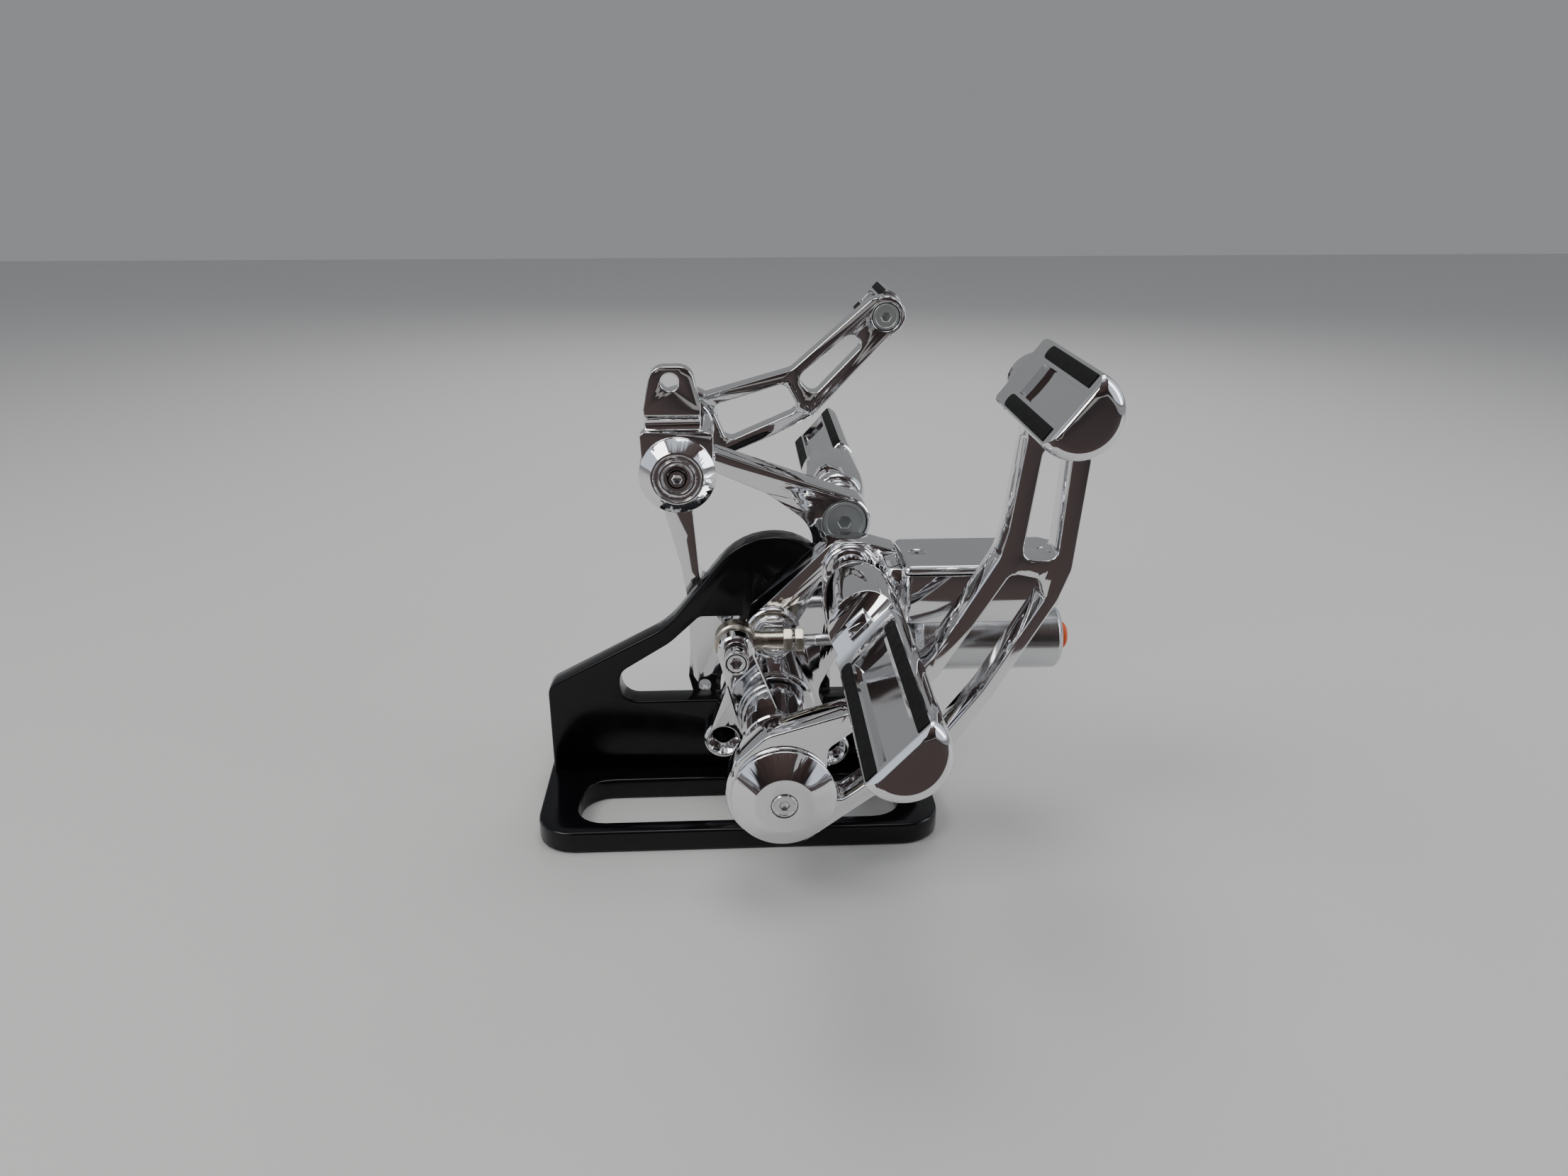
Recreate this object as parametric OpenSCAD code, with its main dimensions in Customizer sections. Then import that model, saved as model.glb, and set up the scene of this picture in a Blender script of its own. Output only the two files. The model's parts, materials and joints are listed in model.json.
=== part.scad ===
// Forward foot controls for a motorcycle on a bench stand: brake side in front, shift side behind.
// X runs along the stand, Y away from the brake side, Z up. The origin is under the middle of the base.

/* [Base] */
// Length of the base plate
base_l = 212; // [190:1:260]
// Depth of the base plate
base_w = 144; // [130:1:180]
// Thickness of the base plate
base_t = 12; // [8:0.5:18]
// Corner radius of the base plate
base_r = 20; // [8:1:24]
// Length of each long slot in the base
slot_l = 172; // [120:1:176]
// Width of each long slot in the base
slot_w = 42; // [20:1:46]
// Width of the rail between a slot and the long edge
slot_rail = 10; // [7:1:12]

/* [Upright] */
// Thickness of the upright plate
web_t = 14; // [12:0.5:18]
// Length of the upright plate at its foot
web_l = 208; // [196:1:210]
// Height of the upright's short ends over the table
web_end_z = 66; // [60:1:72]
// Height of the crown over the table
web_top_z = 149; // [146:1:154]
// Radius of the round crown
crown_r = 45; // [40:1:48]
// Height of the window's sill over the table
window_z = 54; // [48:1:58]

/* [Brackets] */
// Thickness of the two chrome brackets
bracket_t = 17; // [14:0.5:20]
// Thread size of the bolt through both brackets
main_bolt_d = 10; // [8:0.5:12]
// Place of the main bolt along X
main_x = 19.3; // [17:0.1:22]
// Height of the main bolt
main_z = 102; // [99:0.5:105]
// Outer radius of the lugs
lug_r = 11; // [9.5:0.5:12.5]
// Bore of the open lug holes
lug_bore = 8.6; // [6.5:0.1:9.5]
// Edge bevel of the chrome plates
chrome_bevel = 1.2; // [0.5:0.1:1.8]

/* [Footpegs] */
// Place of both pegs along X
peg_x = 59.8; // [58:0.1:62]
// Height of the brake side peg
peg_z = 136.5; // [134:0.5:140]
// Height of the shift side peg
rear_peg_z = 152; // [148:0.5:156]
// Reach of a peg from its bracket
peg_l = 199; // [190:1:205]
// Length of the plain part before the rubber side begins
peg_root_l = 88; // [84:1:92]
// Diameter of a peg
peg_d = 36.4; // [34:0.2:38]
// Diameter of a peg's neck
neck_d = 20; // [18:0.5:21]
// Distance of the rubber side from the peg's axis
peg_flat = 4; // [3:0.5:6]
// Turn of the rubber side about the peg's axis
peg_turn = 47; // [40:1:54]
// Width of a rubber strip
strip_w = 6; // [5:0.1:6.5]
// Depth of the groove that holds a rubber strip
strip_depth = 3; // [2:0.1:3.5]
// Bolt that holds a peg
peg_bolt_d = 10; // [8:0.5:10]

/* [Brake pedal] */
// Place of the pedal pivot along X
pivot_x = 20.8; // [19:0.1:23]
// Height of the pedal pivot
pivot_z = 57.3; // [55:0.1:60]
// Diameter of the pivot shaft
shaft_d = 16; // [13:0.5:18]
// Diameter of the pedal's hub tube
hub_d = 35; // [30:0.5:37]
// Diameter of the pedal's round end plate
pedal_eye_d = 55; // [53:0.5:58]
// Thickness of the pedal arm
pedal_t = 17; // [12:0.5:20]
// Distance of the pedal's outer face from the bracket face
pedal_reach = 89; // [80:1:100]
// Diameter of the bevelled cap
cap_d = 50; // [44:0.5:52]
// Thickness of the bevelled cap
cap_t = 9.5; // [7:0.5:12]
// Diameter of the brake pad
pad_d = 33.6; // [31:0.2:35]
// Length of the brake pad
pad_l = 75; // [70:1:80]
// Turn of the brake pad's rubber side
pad_turn = 52; // [46:1:56]

/* [Linkage] */
// Place of the rod end pin along X
pin_x = -0.3; // [-2:0.1:1]
// Height of the rod end pin
pin_z = 108; // [105:0.1:110]
// Thread size of the rod end and the pushrod
rod_d = 6; // [5:0.5:8]
// Outer diameter of the rod end's eye
eye_d = 21.5; // [18:0.5:24]
// Distance of the rod's axis from the bracket face
rod_reach = 24; // [22:0.5:28]
// Running clearance of the pins and bushes
run_fit = 0.05; // [0.02:0.01:0.09]

/* [Master cylinder] */
// Outer diameter of the plain cylinder
barrel_d = 33; // [29:0.5:35]
// Left end of the cylinder along X
barrel_x0 = 84; // [80:1:90]
// Length of the cylinder
barrel_l = 80; // [72:1:90]
// Bore of the cylinder
piston_d = 15.9; // [12.7:0.1:17.5]
// Length of the reservoir lid along X
lid_l = 83; // [80:1:92]
// Depth of the reservoir lid along Y
lid_w = 44; // [40:1:46]
// Thickness of the reservoir lid
lid_t = 5; // [4:0.5:7]
// Height of the lid's top
lid_z = 151; // [148:0.5:154]
// Distance between the two lid screws
lid_pitch = 64.5; // [60:0.1:68]

/* [Shift side] */
// Place of the shift shaft along X
shift_x = -28.8; // [-32:0.1:-26]
// Height of the shift shaft
shift_z = 183; // [180:0.5:186]
// Diameter of the small bevelled cap
shift_cap_d = 40; // [36:0.5:42]
// Thickness of the small bevelled caps
shift_cap_t = 8; // [7:0.5:9]
// Thickness of the linkage arm
link_t = 10; // [8:0.5:12]
// Distance of the linkage hole from the shaft
link_l = 48; // [44:0.5:54]
// Hole in the linkage arm
link_bore = 9; // [6:0.1:10]
// Thickness of the shift lever
lever_t = 14; // [10:0.5:16]
// Diameter of the toe peg
toe_d = 26; // [22:0.5:28]
// Length of the toe peg
toe_l = 56; // [45:1:65]

/* [Hidden] */
fine = 64;
arc_steps = 6;
gap = 0.3;
eps = 0.01;
// Faces of the plates along Y
face_y = web_t / 2;
right_y = -face_y - bracket_t;
left_y = face_y + bracket_t;
pedal_y = right_y - pedal_reach;
seal_t = 2.7;
hub_y0 = right_y - 1 - seal_t - gap;
rod_y = right_y - rod_reach;
lever_y = left_y + pedal_reach;
// Rod end and its pin
ball_d = eye_d * 0.62;
eye_t = 9;
ball_w = 12;
arm_t = 9;
arm_y = rod_y - ball_w / 2 - arm_t;
pin_d = 6;
rod_neck_l = 24;
spacer_l = 12;
spacer_d = 12.5;
nut_af = 11;
nut_h = 4.6;
// Cylinder
barrel_z = pin_z;
piston_x = barrel_x0 + 16;
piston_l = 34;
rod_tip_x = piston_x + 4;
res_x = 124;
res_y = -38.5;
block_x0 = res_x - lid_l / 2 - 9;
block_x1 = res_x - lid_l / 2 + 3;
block_screw_x = (block_x0 + block_x1) / 2;
block_screw_z = [lid_z - 31, lid_z - 14];
// Rubbered barrels: rounding at the tip, walls beside the strips, start of the strips
peg_tip_r = 4.5;
pad_tip_r = 6;
strip_wall = 1.2;
strip_start = 8;
strip_proud = 0.6;
channel_ledge = 1.6;
channel_start = 14;
rear_bevel = 2.4;
peg_boss_d = 28.6;
peg_boss_h = 4;
spigot_d = 15;
spigot_l = 10;
spigot_drop = 6;
pad_drop = 9;
toe_drop = 2;
toe_flat = 4.5;
toe_strip_w = 5;
lug_left = [-7.7, 37.5];
lug_right = [50.6, 30.5];
rear_lug = [-18, 56.6];
rear_lug_b = [46, 48];
toe_at = [90, 249];
pad_at = [123, 254];
pad_bolt = pad_at + pad_drop * [sin(pad_turn), -cos(pad_turn)];
toe_bolt = toe_at + toe_drop * [sin(peg_turn), -cos(peg_turn)];

// Rounded outlines: every point is [x, y, corner radius]
function unit(v) = v / norm(v);
function flat(v) = [v[0], v[1]];
function wrap(i, n) = (i + n) % n;
function turn_to(a) = a > 180 ? a - 360 : a < -180 ? a + 360 : a;
function arc_at(a, b, c, r) =
    let(u = unit(a - b), v = unit(c - b), half = acos(max(-1, min(1, u * v))) / 2)
    let(p = b + u * r / tan(half), q = b + v * r / tan(half))
    let(o = b + unit(u + v) * r / sin(half))
    let(a0 = atan2(p[1] - o[1], p[0] - o[0]), a1 = atan2(q[1] - o[1], q[0] - o[0]))
    [for (i = [0:arc_steps]) o + r * [cos(a0 + turn_to(a1 - a0) * i / arc_steps),
        sin(a0 + turn_to(a1 - a0) * i / arc_steps)]];
function outline(pts) = let(n = len(pts))
    [for (i = [0:n - 1]) each arc_at(flat(pts[wrap(i - 1, n)]), flat(pts[i]), flat(pts[wrap(i + 1, n)]),
        max(pts[i][2], 0.02))];
// The same outline moved inwards by d, for points that run anticlockwise
function left_of(a, b) = let(u = unit(b - a)) [-u[1], u[0]];
function inset(pts, d) = let(n = len(pts))
    [for (i = [0:n - 1])
        let(a = flat(pts[wrap(i - 1, n)]), b = flat(pts[i]), c = flat(pts[wrap(i + 1, n)]))
        let(n1 = left_of(a, b), n2 = left_of(b, c), m = b + (n1 + n2) * d / (1 + n1 * n2))
        let(convex = cross(b - a, c - b) > 0)
        [m[0], m[1], convex ? max(pts[i][2] - d, 0.02) : pts[i][2] + d]];

// Half width of a rubbered flat, place of its strips and half width of its channel
function half_flat(d, f) = sqrt(d * d / 4 - f * f);
function strip_at(d, f, w) = half_flat(d, f) - strip_wall - w / 2;
function channel_half(d, f, w) = strip_at(d, f, w) - w / 2 - channel_ledge;

// Solid between rings of equal length, from the lowest to the highest
module loft(rings) {
    n = len(rings[0]);
    m = len(rings);
    sides = [for (k = [0:m - 2], i = [0:n - 1])
        [k * n + i, (k + 1) * n + i, (k + 1) * n + wrap(i + 1, n), k * n + wrap(i + 1, n)]];
    polyhedron([for (r = rings) each r],
        concat(sides, [[for (i = [0:n - 1]) i]], [[for (i = [n - 1:-1:0]) (m - 1) * n + i]]));
}

function ring(pts, d, z) = [for (p = outline(inset(pts, d))) [p[0], p[1], z]];

// Flat plate with a rounded outline
module slab(pts, t) {
    linear_extrude(t) polygon(outline(pts));
}

// Cutter for an opening right through a plate
module opening(pts, t) {
    translate([0, 0, -1]) linear_extrude(t + 2) polygon(outline(pts));
}

// Stands a plate up: its outline lies in XZ and its back face at y
module upright(y) {
    translate([0, y, 0]) rotate([90, 0, 0]) children();
}

// Round body along Y at (x, z), from y0 towards the viewer side y1, where y1 < y0
module along_y(x, z, y0, y1, d) {
    translate([x, y0, z]) rotate([90, 0, 0]) cylinder(d = d, h = y0 - y1, $fn = fine);
}

// Round body with bevelled rims along Y
module drum(x, z, y0, y1, d, c) {
    translate([x, y0, z]) rotate([90, 0, 0]) rotate_extrude($fn = fine)
        polygon([[0, 0], [d / 2 - c, 0], [d / 2, c], [d / 2, y0 - y1 - c], [d / 2 - c, y0 - y1], [0, y0 - y1]]);
}

// Round body along X
module along_x(x0, x1, y, z, d) {
    translate([x0, y, z]) rotate([0, 90, 0]) cylinder(d = d, h = x1 - x0, $fn = fine);
}

// Hexagonal socket, cut from z = 0 downwards
module socket(af, depth) {
    translate([0, 0, -depth]) cylinder(d = af / cos(30), h = depth + 1, $fn = 6);
}

// Socket head screw: shank along -Z from the underside of the head at z = 0
module cap_screw(d, l, head_d, head_h) {
    difference() {
        union() {
            translate([0, 0, -l]) cylinder(d = d, h = l + eps, $fn = 32);
            rotate_extrude($fn = 48)
                polygon([[0, 0], [head_d / 2, 0], [head_d / 2, head_h - 0.6], [head_d / 2 - 0.6, head_h], [0, head_h]]);
        }
        translate([0, 0, head_h]) socket(head_d * 0.5, head_h * 0.55);
    }
}

// Low cone head screw, flush when seated
module flush_screw(d, l, head_d, head_h) {
    difference() {
        union() {
            translate([0, 0, -l]) cylinder(d = d, h = l + eps, $fn = 32);
            cylinder(d1 = d, d2 = head_d, h = head_h, $fn = 48);
        }
        translate([0, 0, head_h]) socket(d * 0.6, head_h * 0.6);
    }
}

// Stand
base_pts = [[-base_l / 2, -base_w / 2, base_r], [base_l / 2, -base_w / 2, base_r],
    [base_l / 2, base_w / 2, base_r], [-base_l / 2, base_w / 2, base_r]];
slot_y = base_w / 2 - slot_rail - slot_w / 2;
slot_corner = slot_w * 0.38;
slot_pts = [[-slot_l / 2, -slot_w / 2, slot_corner], [slot_l / 2, -slot_w / 2, slot_corner],
    [slot_l / 2, slot_w / 2, slot_corner], [-slot_l / 2, slot_w / 2, slot_corner]];
screw_xs = [-web_l / 2 + 18, -web_l / 6 - 4, web_l / 6 + 4, web_l / 2 - 18];
foot_screw_d = 6;
foot_head_d = 12;
foot_sunk = 0.4;
foot_head_h = (foot_head_d - foot_screw_d) / 2 - foot_sunk;
foot_grip = 11;

module base_plate() {
    color([0.03, 0.03, 0.035]) difference() {
        slab(base_pts, base_t);
        for (s = [-1, 1]) translate([0, s * slot_y, 0]) opening(slot_pts, base_t);
        for (x = screw_xs) translate([x, 0, 0]) {
            translate([0, 0, -1]) cylinder(d = foot_screw_d + 0.4, h = base_t + 2, $fn = fine);
            translate([0, 0, -1]) cylinder(d1 = foot_head_d + 2, d2 = foot_screw_d, h = foot_head_d / 2 - foot_screw_d / 2 + 1,
                $fn = 48);
        }
    }
}

module upright_screws() {
    color("dimgray") for (x = screw_xs) translate([x, 0, foot_head_h + foot_sunk]) rotate([180, 0, 0])
        flush_screw(foot_screw_d - 0.04, base_t + foot_grip - foot_head_h - foot_sunk, foot_head_d - 2 * foot_sunk, foot_head_h);
}

end_x = web_l / 2;
web_pts = [[-end_x, base_t, 2], [end_x, base_t, 2], [end_x, web_end_z - 2, 8],
    [main_x + 50.7, main_z + 2, crown_r], [main_x + 18.7, web_top_z, crown_r * 0.7],
    [main_x - 16.3, web_top_z, crown_r * 0.82], [main_x - 55.8, main_z - 2.9, crown_r],
    [-end_x, web_end_z - 2, 8]];
window_pts = [[-end_x + 39.5, window_z, 10], [end_x - 24, window_z, 9], [end_x - 27, window_z + 14, 8],
    [main_x + 32, main_z + 2.2, 12], [main_x - 39, main_z + 2.2, 5], [main_x - 55.3, main_z - 13, 40],
    [-end_x + 39.5, window_z + 17.5, 9]];
crown_boss_d = 34;

module upright_plate() {
    color([0.03, 0.03, 0.035]) difference() {
        upright(face_y) slab(web_pts, web_t);
        // The boss round the bolt hangs into the window from the crown
        difference() {
            upright(face_y) opening(window_pts, web_t);
            along_y(main_x, main_z, face_y + 2, -face_y - 2, crown_boss_d);
        }
        along_y(main_x, main_z, face_y + 1, -face_y - 1, main_bolt_d + 0.4);
        for (x = screw_xs) translate([x, 0, base_t - 1])
            cylinder(d = foot_screw_d, h = foot_grip + 2, $fn = 32);
    }
}

// Bolt through both brackets
bolt_head_af = 17;
boss_d = 29;
boss_h = 3;
module main_bolt() {
    color("silver") translate([main_x, right_y - boss_h, main_z]) rotate([90, 0, 0]) difference() {
        union() {
            translate([0, 0, -(2 * bracket_t + web_t + 2 * boss_h + 10)])
                cylinder(d = main_bolt_d, h = 2 * bracket_t + web_t + 2 * boss_h + 10, $fn = fine);
            cylinder(d1 = bolt_head_af + 5, d2 = bolt_head_af + 3, h = 2, $fn = fine);
            translate([0, 0, 1.5]) cylinder(d = bolt_head_af / cos(30), h = 7, $fn = 6);
        }
        translate([0, 0, 7]) cylinder(d1 = 10, d2 = 14, h = 3, $fn = 32);
    }
}

module main_nut() {
    color("silver") translate([main_x, left_y + boss_h, main_z]) rotate([-90, 0, 0]) difference() {
        cylinder(d = bolt_head_af / cos(30), h = 8.5, $fn = 6);
        translate([0, 0, -1]) cylinder(d = main_bolt_d, h = 11, $fn = fine);
    }
}

// Bracket of the brake side
right_pts = [[lug_left[0] - 10.4, lug_left[1] - 3, 3], [lug_left[0] + 8, lug_left[1] - 8.8, 3],
    [pivot_x - 4, pivot_z - 21, 10], [pivot_x + 14, pivot_z - 26, 10],
    [lug_right[0] - 2, lug_right[1] - 11, 4], [lug_right[0] + 9, lug_right[1] - 6, 4],
    [lug_right[0] + 5, lug_right[1] + 12, 8], [pivot_x + 22, pivot_z + 8, 12],
    [peg_x - 4, peg_z - 44, 12], [block_x1, barrel_z - 14, 5],
    [block_x1, lid_z - 5, 4], [peg_x + 11, lid_z - 0.5, 6], [peg_x + 6, peg_z + 15, 6], [peg_x - 9, peg_z + 15.5, 9],
    [main_x - 12, main_z + 8, 14], [main_x - 19, main_z - 17, 14]];

module lug(at, y0, y1) {
    drum(at[0], at[1], y0, y1, 2 * lug_r, chrome_bevel);
}

module right_bracket() {
    color([0.8, 0.8, 0.82]) difference() {
        union() {
            upright(-face_y) slab(right_pts, bracket_t);
            lug(lug_left, -face_y, right_y);
            lug(lug_right, -face_y, right_y);
            drum(main_x, main_z, -face_y, right_y - boss_h, boss_d, chrome_bevel);
            drum(pivot_x, pivot_z, -face_y, right_y - 1, hub_d + 8, chrome_bevel);
            drum(peg_x, peg_z, -face_y, right_y - peg_boss_h, peg_boss_d, chrome_bevel);
        }
        for (p = [lug_left, lug_right]) {
            along_y(p[0], p[1], 0, right_y - 2, lug_bore);
            translate([p[0], right_y + 6, p[1]]) rotate([90, 0, 0])
                cylinder(d1 = lug_bore - eps, d2 = lug_r * 1.56 + 0.2, h = 6 + eps, $fn = fine);
        }
        along_y(main_x, main_z, 0, right_y - boss_h - 1, main_bolt_d + 0.4);
        along_y(pivot_x, pivot_z, 0, right_y - 3, shaft_d);
        along_y(peg_x, peg_z, 0, right_y - peg_boss_h - 1, peg_bolt_d + 0.4);
        along_y(peg_x, peg_z, 0, -face_y - peg_sink, peg_bolt_head + 1);
        for (z = block_screw_z) {
            along_y(block_screw_x, z, 0, right_y - 1, 6.4);
            along_y(block_screw_x, z, 0, -face_y - 6, 10.6);
        }
    }
}

// Rubbered barrel in its own axis: rear face at z = 0, tip at z = l, rubber side towards +Y
module strip_shape(l0, l1, w) {
    translate([0, -l0 - w / 2]) circle(d = w, $fn = 48);
    translate([-w / 2, -l1]) square([w, l1 - l0 - w / 2]);
}

module barrel(l, d, tip_r) {
    r = d / 2;
    rotate_extrude($fn = fine) polygon(concat([[0, 0], [r - 0.8, 0], [r, 0.8]],
        [for (a = [0:15:90]) [r - tip_r * (1 - cos(a)), l - tip_r + tip_r * sin(a)]], [[0, l]]));
}

module peg_body(l, d, f, w, tip_r) {
    half = channel_half(d, f, w);
    depth = half * 0.45;
    channel_r = (half * half + depth * depth) / (2 * depth);
    difference() {
        barrel(l, d, tip_r);
        translate([-d, f, -1]) cube([2 * d, d, l + 2]);
        translate([-d, f - rear_bevel, 0]) rotate([45, 0, 0]) translate([0, -d / 2, -d]) cube([2 * d, 2 * d, d]);
        for (s = [-1, 1]) translate([s * strip_at(d, f, w), f - strip_depth, 0]) rotate([-90, 0, 0])
            linear_extrude(strip_depth + 1) strip_shape(strip_start, l - tip_r, w);
        translate([0, f - depth + channel_r, channel_start])
            cylinder(r = channel_r, h = l - channel_start - tip_r / 2, $fn = 96);
    }
}

module peg_strips(l, d, f, w, tip_r) {
    for (s = [-1, 1]) translate([s * strip_at(d, f, w), f - strip_depth, 0]) rotate([-90, 0, 0])
        linear_extrude(strip_depth + strip_proud) strip_shape(strip_start, l - tip_r, w);
}

// Neck, ring and dome between the bracket and the rubbered barrel, with a tongue in a trough
module peg_mount_body() {
    r = peg_d / 2 - 0.3;
    n = neck_d / 2;
    l = peg_root_l;
    difference() {
        union() {
            difference() {
                rotate_extrude($fn = fine) polygon(concat(
                    [[0, 0], [n, 0], [n, 12], [n + 1.4, 13], [n + 2.2, 14.4], [n + 2.2, 19], [n + 1.4, 20.4],
                    [n + 1.4, 21.6]],
                    [for (a = [0:10:90]) [n + 2.8 + (r - n - 2.8) * sin(a), 21.6 + 26 * (1 - cos(a))]],
                    [for (a = [0:15:90]) [r - 3 + 3 * cos(a), l - 4 + 4 * sin(a)]], [[0, l]]));
                translate([0, peg_flat + r * 0.45, l - r * 0.44]) rotate([0, 90, 0])
                    cylinder(r = r * 0.55, h = 3 * r, center = true, $fn = fine);
            }
            translate([-n * 0.55, -r * 0.3, l - r * 0.95]) cube([n * 1.1, r * 0.3 + peg_flat + 4, r * 0.95 - 1]);
            translate([0, -spigot_drop, l - 1]) cylinder(d = spigot_d, h = spigot_l + 1, $fn = fine);
        }
        translate([0, 0, -1]) cylinder(d = peg_bolt_d, h = 30, $fn = fine);
    }
}

module at_right_peg() {
    translate([peg_x, right_y - peg_boss_h, peg_z]) rotate([90, 0, 0]) rotate([0, 0, peg_turn]) children();
}

module at_left_peg() {
    translate([peg_x, left_y + peg_boss_h, rear_peg_z]) rotate([-90, 0, 0]) rotate([0, 0, 180 - peg_turn])
        children();
}

peg_body_l = peg_l - peg_boss_h - peg_root_l;
module footpeg() {
    difference() {
        peg_body(peg_body_l, peg_d, peg_flat, strip_w, peg_tip_r);
        translate([0, -spigot_drop, -1]) cylinder(d = spigot_d, h = spigot_l + 1.4, $fn = fine);
    }
}

peg_sink = 8;
peg_bolt_head = peg_bolt_d * 1.6;
peg_grip = 26;
module right_peg_mount() {
    color("silver") at_right_peg() peg_mount_body();
}
module right_peg() {
    color("gainsboro") at_right_peg() translate([0, 0, peg_root_l]) footpeg();
}
module right_peg_rubbers() {
    color([0.04, 0.04, 0.04]) at_right_peg() translate([0, 0, peg_root_l])
        peg_strips(peg_body_l, peg_d, peg_flat, strip_w, peg_tip_r);
}
module right_peg_bolt() {
    color("dimgray") translate([peg_x, -face_y - peg_sink, peg_z]) rotate([-90, 0, 0])
        cap_screw(peg_bolt_d, bracket_t - peg_sink + peg_boss_h + peg_grip, peg_bolt_head, peg_bolt_d * 0.7);
}
module left_peg_mount() {
    color("silver") at_left_peg() peg_mount_body();
}
module left_peg() {
    color("gainsboro") at_left_peg() translate([0, 0, peg_root_l]) footpeg();
}
module left_peg_rubbers() {
    color([0.04, 0.04, 0.04]) at_left_peg() translate([0, 0, peg_root_l])
        peg_strips(peg_body_l, peg_d, peg_flat, strip_w, peg_tip_r);
}

// Pivot of the brake pedal
bush_wall = 1.5;
bush_l = 15;
cap_gap = 0.4;
shaft_end = pedal_y - cap_gap;
module pivot_shaft() {
    color("silver") difference() {
        union() {
            along_y(pivot_x, pivot_z, -face_y, shaft_end, shaft_d);
            along_y(pivot_x, pivot_z, right_y - 1, hub_y0 + gap, shaft_d + 8);
        }
        along_y(pivot_x, pivot_z, shaft_end + 20, shaft_end - 1, 6);
    }
}

bush_ys = [hub_y0 - 1, pedal_y + bush_l + 1];
module pivot_bushes() {
    color([0.72, 0.53, 0.25]) for (y = bush_ys) difference() {
        along_y(pivot_x, pivot_z, y, y - bush_l, shaft_d + 2 * bush_wall);
        along_y(pivot_x, pivot_z, y + 1, y - bush_l - 1, shaft_d + 2 * run_fit);
    }
}

// Brake pedal: hub tube and openwork arm in one piece
pedal_pts = [[pivot_x - 24, pivot_z - 2, 12], [pivot_x + 6, pivot_z - 29.6, 18], [63, 54.5, 30],
    [96, 75.5, 16], [116, 105, 60], [143.5, 153.5, 20], [148.6, 168, 12], [152.4, 218, 8],
    [pad_bolt[0] + 12.5, pad_bolt[1] + 4, 8], [pad_bolt[0] - 6, pad_bolt[1] + 12, 8], [pad_bolt[0] - 12.5, pad_bolt[1], 6],
    [124, 228, 10], [119, 188, 14], [116, 175, 20], [86.6, 123.2, 30], [51, 99.5, 20],
    [pivot_x - 8, pivot_z + 31, 12], [pivot_x - 24, pivot_z + 16, 14]];
bay_low = [[pivot_x + 20, pivot_z + 4, 5], [pivot_x + 24, pivot_z - 6.5, 5], [66, 66.5, 20],
    [93, 84.5, 9], [112, 110, 60], [137.4, 155, 4], [134.5, 164, 4], [121.5, 167, 5],
    [90.5, 116, 26], [54, 90.5, 14], [pivot_x + 21, pivot_z + 24, 5]];
bay_high = [[125.6, 173.5, 5], [141.4, 172.5, 5], [144, 221, 4], [131.5, 224.5, 4]];

module brake_pedal() {
    color([0.8, 0.8, 0.82]) difference() {
        union() {
            upright(pedal_y + pedal_t) slab(pedal_pts, pedal_t);
            drum(pivot_x, pivot_z, pedal_y + pedal_t, pedal_y, pedal_eye_d, chrome_bevel * 1.4);
            drum(pivot_x, pivot_z, hub_y0, pedal_y + 1, hub_d, chrome_bevel);
            drum(pivot_x, pivot_z, pedal_y + pedal_t + 6, pedal_y + 1, hub_d + 5, chrome_bevel);
            drum(pad_bolt[0], pad_bolt[1], pedal_y + pedal_t, pedal_y, pad_eye_d, chrome_bevel);
        }
        upright(pedal_y + pedal_t) opening(bay_low, pedal_t);
        upright(pedal_y + pedal_t) opening(bay_high, pedal_t);
        along_y(pivot_x, pivot_z, hub_y0 + 1, pedal_y - 1, shaft_d + 2 * bush_wall);
        along_y(pad_bolt[0], pad_bolt[1], pedal_y + pedal_t + 1, pedal_y - 1, 6.4);
        along_y(pad_bolt[0], pad_bolt[1], pedal_y + pedal_t + 1, pedal_y + pedal_t - 6.2, 11);
        translate([pivot_x - 9, pin_hole_y, pivot_z]) rotate([0, -25, 0]) cylinder(d = hub_pin_d, h = hub_d, $fn = fine);
    }
}

hub_pin_d = 6;
pad_eye_d = 27;
pin_hole_y = right_y - 48;
// Round pin that locks the hub on the arm's sleeve
module hub_pin() {
    color("silver") intersection() {
        translate([pivot_x - 9, pin_hole_y, pivot_z]) rotate([0, -25, 0])
            cylinder(d = hub_pin_d, h = hub_d, $fn = fine);
        difference() {
            along_y(pivot_x, pivot_z, pin_hole_y + 10, pin_hole_y - 10, hub_d);
            along_y(pivot_x, pivot_z, pin_hole_y + 11, pin_hole_y - 11, shaft_d + 2 * bush_wall + 1);
        }
    }
}

module bevel_cap(x, z, y, d, t, seat_d, side) {
    translate([x, y, z]) rotate([side * 90, 0, 0]) difference() {
        rotate_extrude($fn = fine) polygon([[0, 0], [d / 2 - 1, 0], [d / 2, 1], [d / 2, 3],
            [d / 2 * 0.56, t], [0, t]]);
        translate([0, 0, t - 2]) cylinder(d = seat_d, h = 3, $fn = fine);
        translate([0, 0, -1]) cylinder(d = 6.4, h = t + 2, $fn = fine);
    }
}

module pedal_cap() {
    color("gainsboro") bevel_cap(pivot_x, pivot_z, shaft_end, cap_d, cap_t, 12.6, 1);
}

module pedal_cap_screw() {
    color("silver") translate([pivot_x, shaft_end - cap_t + 2, pivot_z]) rotate([90, 0, 0])
        cap_screw(5.96, 18, 12, 2.4);
}

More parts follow.
